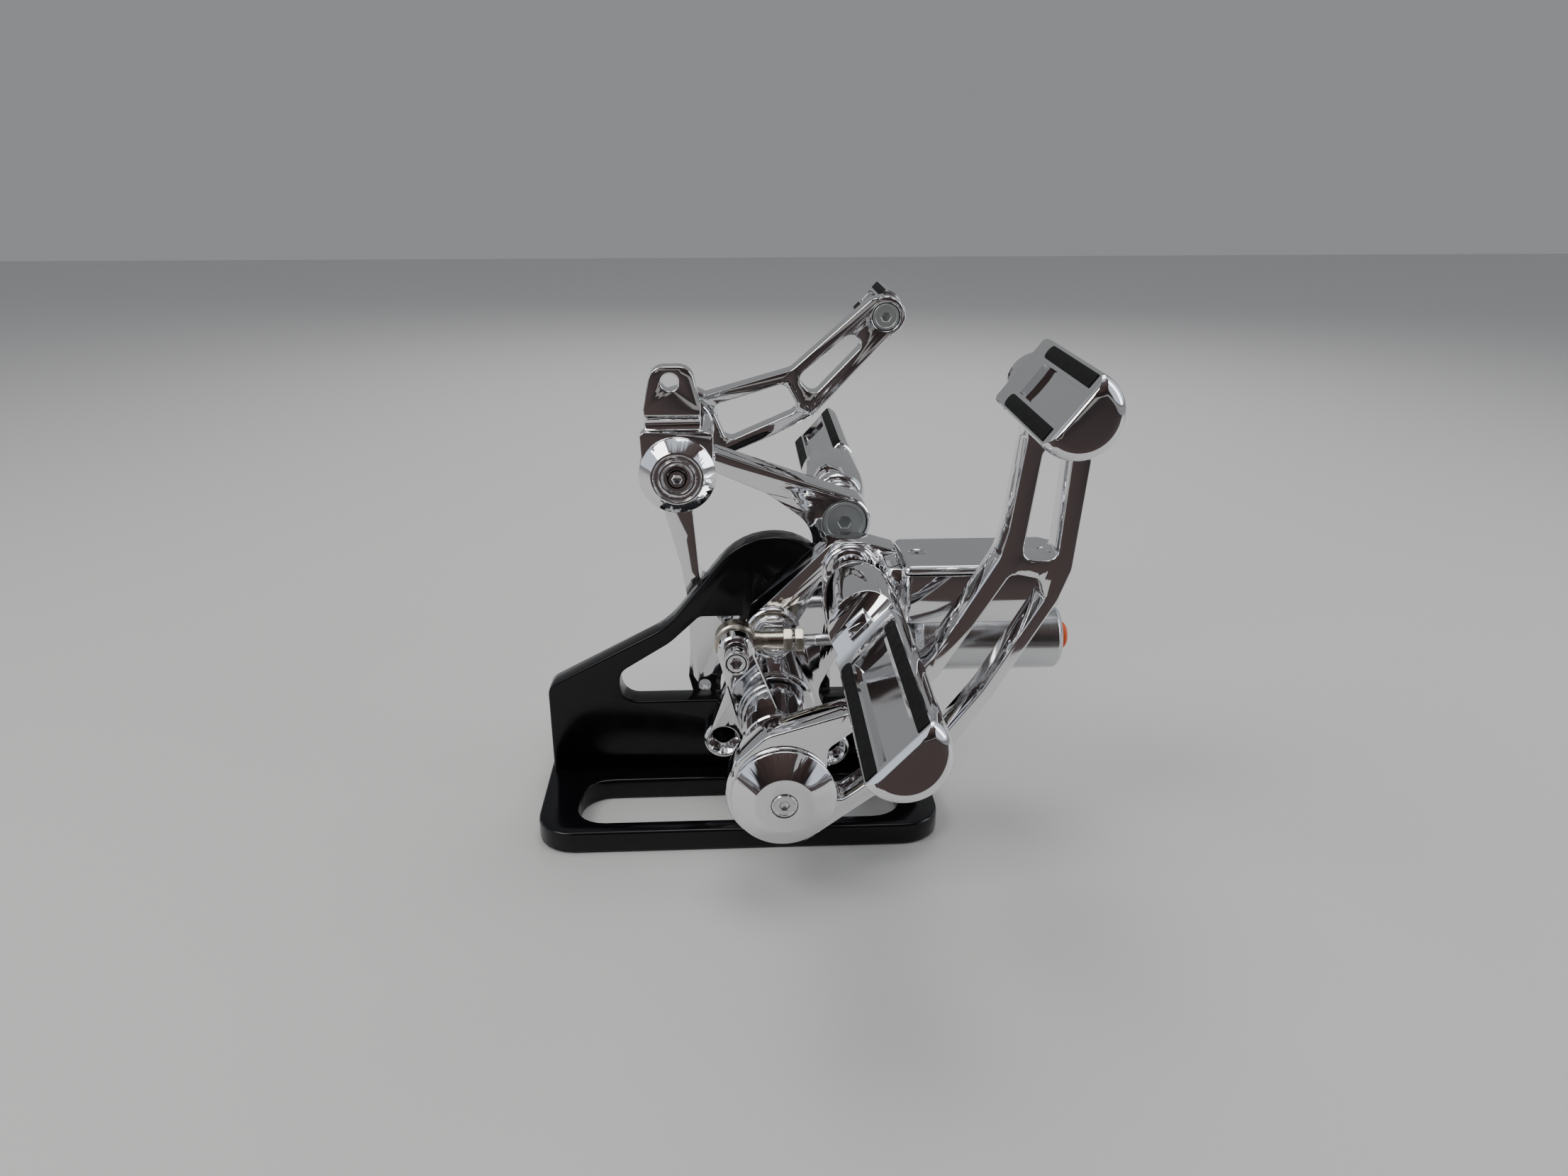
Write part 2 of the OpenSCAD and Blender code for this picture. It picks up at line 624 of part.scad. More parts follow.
// Arm that pushes the master cylinder
arm_pts = [[pivot_x - 16, pivot_z - 13, 14], [pivot_x + 8, pivot_z - 21, 16], [pivot_x + 21, pivot_z + 4, 16],
    [pivot_x + 10, pivot_z + 22, 26], [pin_x + 9.5, pin_z + 3, 7], [pin_x - 2, pin_z + 9.6, 8],
    [pin_x - 9, pin_z, 7], [pin_x - 2.5, pivot_z + 21, 30]];
module actuating_arm() {
    color([0.8, 0.8, 0.82]) difference() {
        union() {
            upright(arm_y + arm_t) slab(arm_pts, arm_t);
            drum(pivot_x, pivot_z, arm_y + arm_t, arm_y, hub_d + 8, chrome_bevel);
        }
        along_y(pivot_x, pivot_z, arm_y + arm_t + 1, arm_y - 1, hub_d);
        along_y(pin_x, pin_z, arm_y + arm_t + 1, arm_y - 1, pin_d);
    }
}

module hub_seal() {
    color([0.03, 0.03, 0.03]) difference() {
        along_y(pivot_x, pivot_z, right_y - 1, hub_y0 + gap, shaft_d + 15);
        along_y(pivot_x, pivot_z, right_y, hub_y0 - 1, shaft_d + 8);
    }
}

// Brake pad
pad_grip = 22;
module at_pad() {
    translate([pad_at[0], pedal_y, pad_at[1]]) rotate([90, 0, 0]) rotate([0, 0, pad_turn]) children();
}
module brake_pad() {
    color("gainsboro") at_pad() difference() {
        peg_body(pad_l, pad_d, peg_flat, strip_w, pad_tip_r);
        translate([0, -pad_drop, -1]) cylinder(d = 5.96, h = pad_grip + 3, $fn = fine);
    }
}
module brake_pad_rubbers() {
    color([0.04, 0.04, 0.04]) at_pad() peg_strips(pad_l, pad_d, peg_flat, strip_w, pad_tip_r);
}
module brake_pad_screw() {
    color("dimgray") translate([pad_bolt[0], pedal_y + pedal_t - 6.2, pad_bolt[1]]) rotate([-90, 0, 0])
        cap_screw(5.94, pedal_t - 6.2 + pad_grip, 10, 6);
}

// Rod end with its ball, screw and spacer
ball_fit = 0.06;
function ball_arc(r, a0) = [for (a = [-a0:8:a0]) [r * cos(a), r * sin(a)]];

module rod_end() {
    color([0.78, 0.72, 0.58]) difference() {
        union() {
            drum(pin_x, pin_z, rod_y + eye_t / 2, rod_y - eye_t / 2, eye_d, 0.8);
            along_x(pin_x + eye_d * 0.4, pin_x + rod_neck_l, rod_y, pin_z, 9.4);
            translate([pin_x + eye_d / 2 - 3, rod_y, pin_z]) rotate([0, 90, 0])
                cylinder(d1 = 11, d2 = 9.4, h = 6, $fn = fine);
        }
        translate([pin_x, rod_y, pin_z]) rotate([90, 0, 0]) rotate_extrude($fn = fine)
            polygon(concat([[0, -eye_t]], ball_arc(ball_d / 2 + ball_fit, 40), [[0, eye_t]]));
        along_y(pin_x, pin_z, rod_y + eye_t, rod_y - eye_t, ball_d * cos(40));
        along_x(pin_x + eye_d / 2 + 2, pin_x + rod_neck_l + 1, rod_y, pin_z, rod_d);
    }
}

module rod_end_ball() {
    color([0.7, 0.68, 0.62]) translate([pin_x, rod_y, pin_z]) rotate([90, 0, 0]) rotate_extrude($fn = fine)
        polygon(concat([[pin_d / 2, -ball_w / 2]], ball_arc(ball_d / 2, 56), [[pin_d / 2, ball_w / 2]]));
}

module rod_end_spacer() {
    color([0.8, 0.8, 0.82]) difference() {
        along_y(pin_x, pin_z, arm_y, arm_y - spacer_l, spacer_d);
        along_y(pin_x, pin_z, arm_y + 1, arm_y - spacer_l - 1, pin_d);
        along_y(pin_x, pin_z, arm_y - spacer_l + 6.2, arm_y - spacer_l - 1, 10.2);
    }
}

module rod_end_screw() {
    color("silver") translate([pin_x, arm_y - spacer_l + 6.2, pin_z]) rotate([90, 0, 0])
        cap_screw(pin_d, spacer_l - 6.2 + arm_t + ball_w + 3, 10, 6);
}

module hex_nut(x) {
    translate([x, rod_y, pin_z]) rotate([0, 90, 0]) difference() {
        intersection() {
            cylinder(d = nut_af / cos(30), h = nut_h, $fn = 6);
            cylinder(d1 = nut_af + 0.4, d2 = nut_af + 0.4 + 2 * nut_h, h = nut_h, $fn = 48);
            translate([0, 0, -nut_h]) cylinder(d2 = nut_af + 0.4, d1 = nut_af + 0.4 + 4 * nut_h, h = 2 * nut_h, $fn = 48);
        }
        translate([0, 0, -1]) cylinder(d = rod_d, h = nut_h + 2, $fn = fine);
    }
}
module rod_nuts() {
    color([0.78, 0.74, 0.62]) for (x = [pin_x + rod_neck_l, pin_x + rod_neck_l + nut_h + 1.2]) hex_nut(x);
}

module pushrod() {
    color([0.6, 0.58, 0.52]) union() {
        along_x(pin_x + eye_d / 2 + 2, rod_tip_x - 3, rod_y, pin_z, rod_d);
        translate([rod_tip_x - 3, rod_y, pin_z]) rotate([0, 90, 0]) cylinder(d1 = rod_d, d2 = 2.5, h = 3 - 0.4, $fn = 32);
    }
}

// Master cylinder
module cylinder_barrel() {
    color([0.75, 0.76, 0.78]) difference() {
        translate([barrel_x0, rod_y, barrel_z]) rotate([0, 90, 0]) rotate_extrude($fn = fine)
            polygon([[0, 0], [barrel_d / 2 - 6, 0], [barrel_d / 2 - 6, 6], [barrel_d / 2, 9],
                [barrel_d / 2, barrel_l - 2.5], [barrel_d / 2 - 2.5, barrel_l], [0, barrel_l]]);
        along_x(barrel_x0 - 1, barrel_x0 + barrel_l - 12, rod_y, barrel_z, piston_d);
        along_x(barrel_x0 + barrel_l - 13, barrel_x0 + barrel_l + 1, rod_y, barrel_z, 8.6);
        along_x(barrel_x0 + 3, barrel_x0 + 4.6, rod_y, barrel_z, piston_d + 2.4);
        translate([res_x, rod_y, barrel_z + piston_d / 2 - 1]) cylinder(d = 3, h = barrel_d / 2, $fn = fine);
    }
}

module cylinder_piston() {
    color([0.65, 0.66, 0.68]) difference() {
        union() {
            along_x(piston_x, piston_x + 7, rod_y, barrel_z, piston_d - 2 * run_fit);
            along_x(piston_x + 6, piston_x + piston_l - 6, rod_y, barrel_z, piston_d - 5);
            along_x(piston_x + piston_l - 7, piston_x + piston_l, rod_y, barrel_z, piston_d - 2 * run_fit);
        }
        translate([piston_x - eps, rod_y, barrel_z]) rotate([0, 90, 0]) cylinder(d1 = 9.5, d2 = 5, h = 4.2, $fn = fine);
    }
}

module cylinder_circlip() {
    color("dimgray") difference() {
        along_x(barrel_x0 + 3.1, barrel_x0 + 4.5, rod_y, barrel_z, piston_d + 2.2);
        along_x(barrel_x0 + 2, barrel_x0 + 6, rod_y, barrel_z, piston_d - 3.4);
    }
}

module port_plug() {
    color([0.95, 0.3, 0.08]) union() {
        along_x(barrel_x0 + barrel_l - 9, barrel_x0 + barrel_l + eps, rod_y, barrel_z, 8.4);
        translate([barrel_x0 + barrel_l, rod_y, barrel_z]) rotate([0, 90, 0]) rotate_extrude($fn = 48)
            polygon([[0, 0], [6.6, 0], [6.6, 3.6], [5, 4.8], [0, 4.8]]);
    }
}

// Reservoir over the cylinder
res_top = lid_z - lid_t;
res_pts = [[-lid_l / 2, -lid_w / 2, 4], [lid_l / 2 - 12, -lid_w / 2, 4], [lid_l / 2, -lid_w / 2 + 12, 4],
    [lid_l / 2, lid_w / 2 - 6, 4], [lid_l / 2 - 6, lid_w / 2, 4], [-lid_l / 2, lid_w / 2, 4]];
block_pts = [[block_x0, -25, 6], [block_x1, -29, 3], [block_x1, 0, 1], [block_x0, 0, 1]];
module reservoir() {
    color([0.8, 0.8, 0.82]) difference() {
        union() {
            translate([res_x, res_y, 0]) loft([ring(res_pts, 7, barrel_z - 3), ring(res_pts, 3.4, barrel_z + 3),
                ring(res_pts, 1.8, barrel_z + 10), ring(res_pts, 1, barrel_z + 20), ring(res_pts, 0.6, res_top)]);
            // Faceted block that bolts to the bracket
            translate([0, right_y, 0]) loft([ring(block_pts, 3.4, barrel_z + 9), ring(block_pts, 0, barrel_z + 16),
                ring(block_pts, 0, res_top - 6), ring(block_pts, 2.4, res_top)]);
        }
        along_x(barrel_x0 - 20, barrel_x0 + barrel_l + 40, rod_y, barrel_z, barrel_d);
        translate([res_x, res_y, barrel_z + 21]) linear_extrude(40) polygon(outline(inset(res_pts, 5)));
        for (z = block_screw_z) along_y(block_screw_x, z, 0, right_y - 12, 5.98);
        // Room for the bracket's edge and for the boss of the footpeg
        translate([block_x1 + gap - 40, right_y, barrel_z - 30]) cube([40, 30, 80]);
        along_y(peg_x, peg_z, 0, right_y - peg_boss_h - gap, peg_boss_d + 2 * gap);
    }
    color([0.8, 0.8, 0.82]) for (s = [-1, 1]) difference() {
        translate([res_x + s * lid_pitch / 2, res_y, barrel_z + 20.5])
            cylinder(d = 9, h = res_top - barrel_z - 20.5, $fn = fine);
        translate([res_x + s * lid_pitch / 2, res_y, res_top - 14]) cylinder(d = 3.98, h = 20, $fn = fine);
    }
}

module reservoir_gasket() {
    color([0.05, 0.05, 0.05]) difference() {
        translate([res_x, res_y, res_top]) loft([ring(res_pts, 1.4, 0), ring(res_pts, 1.4, 0.8)]);
        for (s = [-1, 1]) translate([res_x + s * lid_pitch / 2, res_y, res_top - 1]) cylinder(d = 4.4, h = 4, $fn = fine);
    }
}

lid_seat = res_top + 0.8;
module reservoir_lid() {
    color([0.85, 0.85, 0.87]) difference() {
        translate([res_x, res_y, 0]) loft([ring(res_pts, 0.6, lid_seat), ring(res_pts, 0, lid_seat + 0.8),
            ring(res_pts, 0, lid_z - 1.6), ring(res_pts, 1.6, lid_z)]);
        for (s = [-1, 1]) translate([res_x + s * lid_pitch / 2, res_y, 0]) {
            translate([0, 0, lid_seat - 1]) cylinder(d = 4.4, h = lid_t + 2, $fn = fine);
            translate([0, 0, lid_z - 2.7]) cylinder(d1 = 4.1, d2 = 9.3, h = 2.71, $fn = fine);
        }
    }
}

module lid_screws() {
    color("dimgray") for (s = [-1, 1]) translate([res_x + s * lid_pitch / 2, res_y, lid_z - 2.6])
        flush_screw(3.96, 12, 8, 2.1);
}

module reservoir_screws() {
    color("dimgray") for (z = block_screw_z) translate([block_screw_x, -face_y - 6, z]) rotate([-90, 0, 0])
        cap_screw(5.98, bracket_t - 6 + 11, 10, 6);
}

// Bracket of the shift side
left_pts = [[rear_lug[0] - 6, rear_lug[1] - 7.4, 6], [rear_lug[0] + 9, rear_lug[1] - 7.4, 5],
    [rear_lug[0] + 9, main_z - 28, 16], [rear_lug_b[0] - 8, main_z - 28, 16], [rear_lug_b[0] - 7.5, rear_lug_b[1] - 7, 5],
    [rear_lug_b[0] + 7.8, rear_lug_b[1] - 6, 5], [peg_x - 9, main_z + 2, 16], [peg_x - 3, rear_peg_z - 14, 8],
    [peg_x + 13, rear_peg_z - 3, 6], [peg_x + 4, rear_peg_z + 14, 8], [shift_x + 20, shift_z + 9, 6],
    [shift_x - 14, shift_z + 14, 10], [shift_x - 8, shift_z - 24, 10], [-29, 128, 20],
    [rear_lug[0] - 7.6, 104, 20], [rear_lug[0] - 7.6, rear_lug[1] + 22, 8], [rear_lug[0] - 9, rear_lug[1] + 6, 5]];
left_window = [[-19, 118, 6], [main_x - 8, main_z + 17, 16], [main_x + 14, main_z + 19, 14],
    [44.5, 141, 16], [38, 154, 20], [18, 169, 30], [-14, 183, 5], [-22, 160, 5]];
rear_lug_r = 7.4;
left_sink = 3.2;
left_head_d = 23.6;

module left_bracket() {
    color([0.8, 0.8, 0.82]) difference() {
        union() {
            upright(left_y) slab(left_pts, bracket_t);
            for (p = [rear_lug, rear_lug_b]) drum(p[0], p[1], left_y, face_y, 2 * rear_lug_r, chrome_bevel);
            drum(main_x, main_z, left_y + boss_h, face_y, boss_d, chrome_bevel);
            drum(shift_x, shift_z, left_y + 1, face_y, hub_d + 6, chrome_bevel);
            drum(peg_x, rear_peg_z, left_y + peg_boss_h, face_y, peg_boss_d, chrome_bevel);
        }
        upright(left_y) opening(left_window, bracket_t);
        along_y(rear_lug[0], rear_lug[1], left_y + 1, 0, lug_bore - 1.8);
        along_y(rear_lug_b[0], rear_lug_b[1], left_y + 1, 0, lug_bore - 1.8);
        along_y(main_x, main_z, left_y + boss_h + 1, 0, main_bolt_d + 0.4);
        along_y(shift_x, shift_z, left_y + 3, 0, shaft_d + 2 * bush_wall);
        along_y(peg_x, rear_peg_z, left_y + 6, 0, peg_bolt_d + 0.4);
        along_y(peg_x, rear_peg_z, face_y + left_sink, 0, left_head_d + 0.8);
    }
}

module left_peg_bolt() {
    color("dimgray") translate([peg_x, face_y + left_sink, rear_peg_z]) rotate([90, 0, 0])
        cap_screw(peg_bolt_d, bracket_t - left_sink + peg_boss_h + peg_grip, left_head_d, left_sink - 0.2);
}

// Shift shaft, turning in the bracket, with the linkage arm inside and the lever outside
shift_y0 = face_y - gap;
module shift_shaft() {
    color("silver") difference() {
        along_y(shift_x, shift_z, lever_y, shift_y0 - link_t, shaft_d);
        along_y(shift_x, shift_z, lever_y + 1, lever_y - 18, 6);
        along_y(shift_x, shift_z, shift_y0 - link_t + 20, shift_y0 - link_t - 1, 6);
    }
}

module shift_bushes() {
    color([0.72, 0.53, 0.25]) difference() {
        along_y(shift_x, shift_z, left_y + 1, face_y, shaft_d + 2 * bush_wall);
        along_y(shift_x, shift_z, left_y + 2, face_y - 1, shaft_d + 2 * run_fit);
    }
}

link_pts = [[-18, -12, 12], [0, -22, 18], [18, -12, 12], [19, 21, 2], [12.6, 23, 1], [12.6, 30, 1],
    [12.8, 34, 4], [8.4, link_l + 8, 8], [-12, link_l + 8, 8], [-16.4, 34, 4], [-16.2, 30, 1],
    [-16.2, 23, 1], [-19, 21, 2]];
module linkage_arm() {
    color([0.8, 0.8, 0.82]) difference() {
        translate([shift_x, 0, shift_z]) upright(shift_y0) slab(link_pts, link_t);
        along_y(shift_x, shift_z, shift_y0 + 1, shift_y0 - link_t - 1, shaft_d);
        along_y(shift_x - 2.5, shift_z + link_l, shift_y0 + 1, shift_y0 - link_t - 1, link_bore);
        // Round groove across the neck
        translate([shift_x, shift_y0 - link_t - 1.5, shift_z + 26.5]) rotate([0, 90, 0])
            cylinder(r = 4.6, h = 60, center = true, $fn = fine);
    }
}

module ring_cap(x, z, y, d, t, side) {
    translate([x, y, z]) rotate([side * 90, 0, 0]) difference() {
        rotate_extrude($fn = fine) polygon([[0, 0], [d / 2 - 1, 0], [d / 2, 1], [d / 2, 2.2],
            [d * 0.34, t], [d * 0.31, t], [d * 0.3, t - 1.6], [d * 0.25, t - 1.6], [d * 0.24, t],
            [d * 0.2, t], [d * 0.18, t - 1.8], [0, t - 1.8]]);
        translate([0, 0, -1]) cylinder(d = 6.4, h = t + 2, $fn = fine);
    }
}

module shift_cap() {
    color("gainsboro") ring_cap(shift_x, shift_z, shift_y0 - link_t, shift_cap_d, shift_cap_t, 1);
}
module shift_cap_screw() {
    color("silver") translate([shift_x, shift_y0 - link_t - shift_cap_t + 1.8, shift_z]) rotate([90, 0, 0])
        cap_screw(5.96, 16, 9.4, 2.6);
}

// Shift lever with its hub tube
hub_shift_y0 = left_y + 1 + gap;
lever_pts = [[-34, 164, 12], [-14, 161, 14], [26, 178, 14], [50, 190, 10], [101, 244, 10], [98, 257, 8],
    [84, 259, 8], [36, 217, 10], [-25, 200, 14], [-46, 191, 12], [-46, 174, 12]];
lever_low = [[-3, 174, 5], [41, 193, 5], [32, 209, 5], [-12, 196, 5]];
lever_high = [[49, 201, 5], [79, 232, 4], [71, 238, 4], [39, 212, 5]];
module shift_lever() {
    color([0.8, 0.8, 0.82]) difference() {
        union() {
            upright(lever_y) slab(lever_pts, lever_t);
            drum(shift_x, shift_z, lever_y, lever_y - lever_t, 48, chrome_bevel * 1.4);
            drum(shift_x, shift_z, lever_y - 1, hub_shift_y0, hub_d, chrome_bevel);
            drum(toe_bolt[0], toe_bolt[1], lever_y, lever_y - lever_t, toe_eye_d, chrome_bevel);
        }
        upright(lever_y) opening(lever_low, lever_t);
        upright(lever_y) opening(lever_high, lever_t);
        along_y(shift_x, shift_z, lever_y + 1, hub_shift_y0 - 1, shaft_d);
        along_y(toe_bolt[0], toe_bolt[1], lever_y + 1, lever_y - lever_t - 1, 6.4);
        along_y(toe_bolt[0], toe_bolt[1], lever_y - lever_t + left_sink, lever_y - lever_t - 1, 16.4);
    }
}

module shift_end_cap() {
    color("gainsboro") bevel_cap(shift_x, shift_z, lever_y, shift_cap_d + 2, shift_cap_t, 12.6, -1);
}
module shift_end_screw() {
    color("silver") translate([shift_x, lever_y + shift_cap_t - 2, shift_z]) rotate([-90, 0, 0])
        cap_screw(5.96, 16, 12, 2.4);
}

toe_eye_d = 24;
toe_tip_r = 4.5;
toe_grip = 20;
module at_toe() {
    translate([toe_at[0], lever_y, toe_at[1]]) rotate([-90, 0, 0]) rotate([0, 0, 180 - peg_turn]) children();
}
module toe_peg() {
    color("gainsboro") at_toe() difference() {
        peg_body(toe_l, toe_d, toe_flat, toe_strip_w, toe_tip_r);
        translate([0, -toe_drop, -1]) cylinder(d = 5.96, h = toe_grip + 3, $fn = fine);
    }
}
module toe_peg_rubbers() {
    color([0.04, 0.04, 0.04]) at_toe() peg_strips(toe_l, toe_d, toe_flat, toe_strip_w, toe_tip_r);
}
module toe_peg_bolt() {
    color("dimgray") translate([toe_bolt[0], lever_y - lever_t + left_sink, toe_bolt[1]]) rotate([90, 0, 0])
        cap_screw(5.94, lever_t - left_sink + toe_grip, 15.6, 3);
}

base_plate();
upright_plate();
upright_screws();
main_bolt();
main_nut();
right_bracket();
right_peg_mount();
right_peg();
right_peg_rubbers();
right_peg_bolt();
pivot_shaft();
pivot_bushes();
brake_pedal();
hub_pin();
pedal_cap();
pedal_cap_screw();
actuating_arm();
hub_seal();
brake_pad();
brake_pad_rubbers();
brake_pad_screw();
rod_end();
rod_end_ball();
rod_end_spacer();
rod_end_screw();
rod_nuts();
pushrod();
cylinder_barrel();
cylinder_piston();
cylinder_circlip();
port_plug();
reservoir();
reservoir_gasket();
reservoir_lid();
lid_screws();
reservoir_screws();
left_bracket();
left_peg_mount();
left_peg();
left_peg_rubbers();
left_peg_bolt();
shift_shaft();
shift_bushes();
linkage_arm();
shift_cap();
shift_cap_screw();
shift_lever();
shift_end_cap();
shift_end_screw();
toe_peg();
toe_peg_rubbers();
toe_peg_bolt();
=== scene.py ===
# %% [markdown]
# # Forward controls on their stand
# These are a motorcycle's foot controls, held up on a black bench stand.
# The brake side faces us, and the shift side stands behind the plate.
# Nearly all of it is mirror chrome, so the lesson is about edges and reflections:
# a mirror has no colour of its own, and it shows every edge that is too sharp.
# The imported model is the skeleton, and this file gives it its surfaces.

import json
import math

import bmesh
import bpy
import numpy as np
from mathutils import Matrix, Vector


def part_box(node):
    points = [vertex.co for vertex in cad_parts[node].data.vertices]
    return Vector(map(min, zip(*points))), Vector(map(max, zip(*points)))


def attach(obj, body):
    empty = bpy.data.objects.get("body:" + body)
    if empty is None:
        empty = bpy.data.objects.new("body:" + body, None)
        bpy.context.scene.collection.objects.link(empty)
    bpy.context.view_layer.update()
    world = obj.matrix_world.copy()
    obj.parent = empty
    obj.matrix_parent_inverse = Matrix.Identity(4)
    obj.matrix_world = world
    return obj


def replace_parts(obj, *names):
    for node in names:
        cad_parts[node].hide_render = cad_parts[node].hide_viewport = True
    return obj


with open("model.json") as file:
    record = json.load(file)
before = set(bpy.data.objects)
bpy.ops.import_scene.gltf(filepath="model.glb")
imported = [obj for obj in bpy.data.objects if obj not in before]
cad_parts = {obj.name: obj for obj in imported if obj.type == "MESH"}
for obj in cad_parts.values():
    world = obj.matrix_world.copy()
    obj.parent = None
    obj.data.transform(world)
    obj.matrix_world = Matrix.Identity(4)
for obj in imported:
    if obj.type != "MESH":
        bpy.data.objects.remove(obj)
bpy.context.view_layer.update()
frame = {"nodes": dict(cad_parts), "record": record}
MM = 0.001

# %% [markdown]
# ## The camera
# The photographer stood in front of the brake side and looked down a little.
# The place and the lens come from the known lengths of the base and the holes,
# so the render can be laid over the photograph.

# %% Camera
CAMERA_AT = (-0.0023, -0.5804, 0.3476)
CAMERA_DOWN = math.radians(21.6)
CAMERA_RIGHT = math.radians(2.85)
SENSOR_WIDTH = 36.0
PHOTO_WIDTH = 2212
FOCAL_PIXELS = 1620

camera_data = bpy.data.cameras.new("camera")
camera_data.sensor_width = SENSOR_WIDTH
camera_data.lens = SENSOR_WIDTH * FOCAL_PIXELS / PHOTO_WIDTH
camera = bpy.data.objects.new("camera", camera_data)
camera.location = CAMERA_AT
camera.rotation_euler = (math.pi / 2 - CAMERA_DOWN, 0, -CAMERA_RIGHT)
bpy.context.scene.collection.objects.link(camera)
bpy.context.scene.camera = camera
print("lens:", round(camera_data.lens, 2), "mm")

# %% [markdown]
# ## The floor and the room
# Chrome shows what stands round it. The object was photographed on a white table
# in a dim room, so its faces are pale below and a dark warm grey above.
# A plain floor gives the pale part, and the world gives the rest: a colour that
# depends only on how high a ray points, and a little on which way it goes.

# %% Floor and world
FLOOR_SIZE = 6.0
FLOOR_DROP = 0.0002
floor_mesh = bpy.data.meshes.new("floor")
half = FLOOR_SIZE / 2
floor_corners = [(-half, -half, 0), (half, -half, 0), (half, half, 0), (-half, half, 0)]
floor_mesh.from_pydata(floor_corners, [], [(0, 1, 2, 3)])
floor = bpy.data.objects.new("floor", floor_mesh)
floor.location.z = -FLOOR_DROP
bpy.context.scene.collection.objects.link(floor)
floor_finish = bpy.data.materials.new("pale_floor")
floor_finish.use_nodes = True
floor_shader = floor_finish.node_tree.nodes["Principled BSDF"]
floor_shader.inputs["Base Color"].default_value = (0.58, 0.575, 0.56, 1)
floor_shader.inputs["Roughness"].default_value = 0.55
floor_mesh.materials.append(floor_finish)

# Height of a ray (0 is straight down, 0.5 level, 1 straight up) and the room's colour there
ROOM_COLOURS = [
    (0.00, (0.30, 0.29, 0.28)),
    (0.49, (0.30, 0.29, 0.28)),
    (0.51, (0.040, 0.032, 0.031)),
    (0.60, (0.022, 0.017, 0.017)),
    (0.80, (0.075, 0.052, 0.048)),
    (0.93, (0.12, 0.10, 0.10)),
    (0.97, (0.62, 0.66, 0.72)),
    (1.00, (0.70, 0.74, 0.80)),
]
BACK_COLOUR = (0.27, 0.275, 0.28)
SIDE_COLOUR = (0.72, 0.77, 0.86)
# Where the back wall fades in along Y, and where the openings begin sideways, end below and end above
BACK_FADE = (-0.05, 0.45)
SIDE_FADE = (0.62, 0.74)
SILL_FADE = (0.0, 0.06)
LINTEL_FADE = (0.52, 0.62)

world = bpy.data.worlds.new("room")
world.use_nodes = True
bpy.context.scene.world = world
tree = world.node_tree
coordinates = tree.nodes.new("ShaderNodeTexCoord")
parts = tree.nodes.new("ShaderNodeSeparateXYZ")
tree.links.new(coordinates.outputs["Generated"], parts.inputs[0])


def world_math(operation, a, b=0.0, c=0.0):
    """One Math node in the world; a, b and c are numbers or sockets."""
    node = tree.nodes.new("ShaderNodeMath")
    node.operation = operation
    for socket, value in zip(node.inputs, (a, b, c)):
        if isinstance(value, bpy.types.NodeSocket):
            tree.links.new(value, socket)
        else:
            socket.default_value = value
    return node.outputs[0]


def soft_step(value, low, high):
    """Goes smoothly from 0 where value is low to 1 where it is high."""
    node = tree.nodes.new("ShaderNodeMapRange")
    node.interpolation_type = "SMOOTHSTEP"
    node.inputs["From Min"].default_value = low
    node.inputs["From Max"].default_value = high
    tree.links.new(value, node.inputs["Value"])
    return node.outputs["Result"]


def mixed(share, first, second):
    """Colour between first, a socket, and second, a plain colour."""
    node = tree.nodes.new("ShaderNodeMix")
    node.data_type = "RGBA"
    node.inputs["B"].default_value = (*second, 1)
    tree.links.new(share, node.inputs["Factor"])
    tree.links.new(first, node.inputs["A"])
    return node.outputs["Result"]


ramp = tree.nodes.new("ShaderNodeValToRGB")
ramp.color_ramp.elements[0].position = ROOM_COLOURS[0][0]
ramp.color_ramp.elements[1].position = ROOM_COLOURS[-1][0]
for place, colour in ROOM_COLOURS[1:-1]:
    ramp.color_ramp.elements.new(place)
for element, (place, colour) in zip(ramp.color_ramp.elements, ROOM_COLOURS):
    element.color = (*colour, 1)
tree.links.new(world_math("MULTIPLY_ADD", parts.outputs["Z"], 0.5, 0.5), ramp.inputs["Fac"])

# The wall behind the object is lighter than the room behind the camera,
# and bright openings stand to the left and to the right
room = mixed(soft_step(parts.outputs["Y"], *BACK_FADE), ramp.outputs["Color"], BACK_COLOUR)
sideways = soft_step(world_math("ABSOLUTE", parts.outputs["X"]), *SIDE_FADE)
over_floor = soft_step(parts.outputs["Z"], *SILL_FADE)
under_roof = world_math("SUBTRACT", 1.0, soft_step(parts.outputs["Z"], *LINTEL_FADE))
opening = world_math("MULTIPLY", sideways, world_math("MULTIPLY", over_floor, under_roof))
room = mixed(opening, room, SIDE_COLOUR)
tree.links.new(room, tree.nodes["Background"].inputs["Color"])
print("room colours:", len(ROOM_COLOURS))

# %% [markdown]
# ## The dark card
# In the photograph the table ends just in front of the camera, and every chrome
# face that looks over its edge turns nearly black. A photographer gets the same with
# a dark card. This one lies on the floor in front, and only reflections can see it.

# %% Dark card
CARD_NEAR = -0.38
CARD_FAR = -3.0
CARD_HALF = 1.6
CARD_LIFT = 0.001
card_mesh = bpy.data.meshes.new("dark_card")
card_corners = [
    (-CARD_HALF, CARD_FAR, 0),
    (CARD_HALF, CARD_FAR, 0),
    (CARD_HALF, CARD_NEAR, 0),
    (-CARD_HALF, CARD_NEAR, 0),
]
card_mesh.from_pydata(card_corners, [], [(0, 1, 2, 3)])
card = bpy.data.objects.new("dark_card", card_mesh)
bpy.context.scene.collection.objects.link(card)
card_finish = bpy.data.materials.new("dark_card")
card_finish.use_nodes = True
card_shader = card_finish.node_tree.nodes["Principled BSDF"]
card_shader.inputs["Base Color"].default_value = (0.055, 0.036, 0.033, 1)
card_shader.inputs["Roughness"].default_value = 0.9
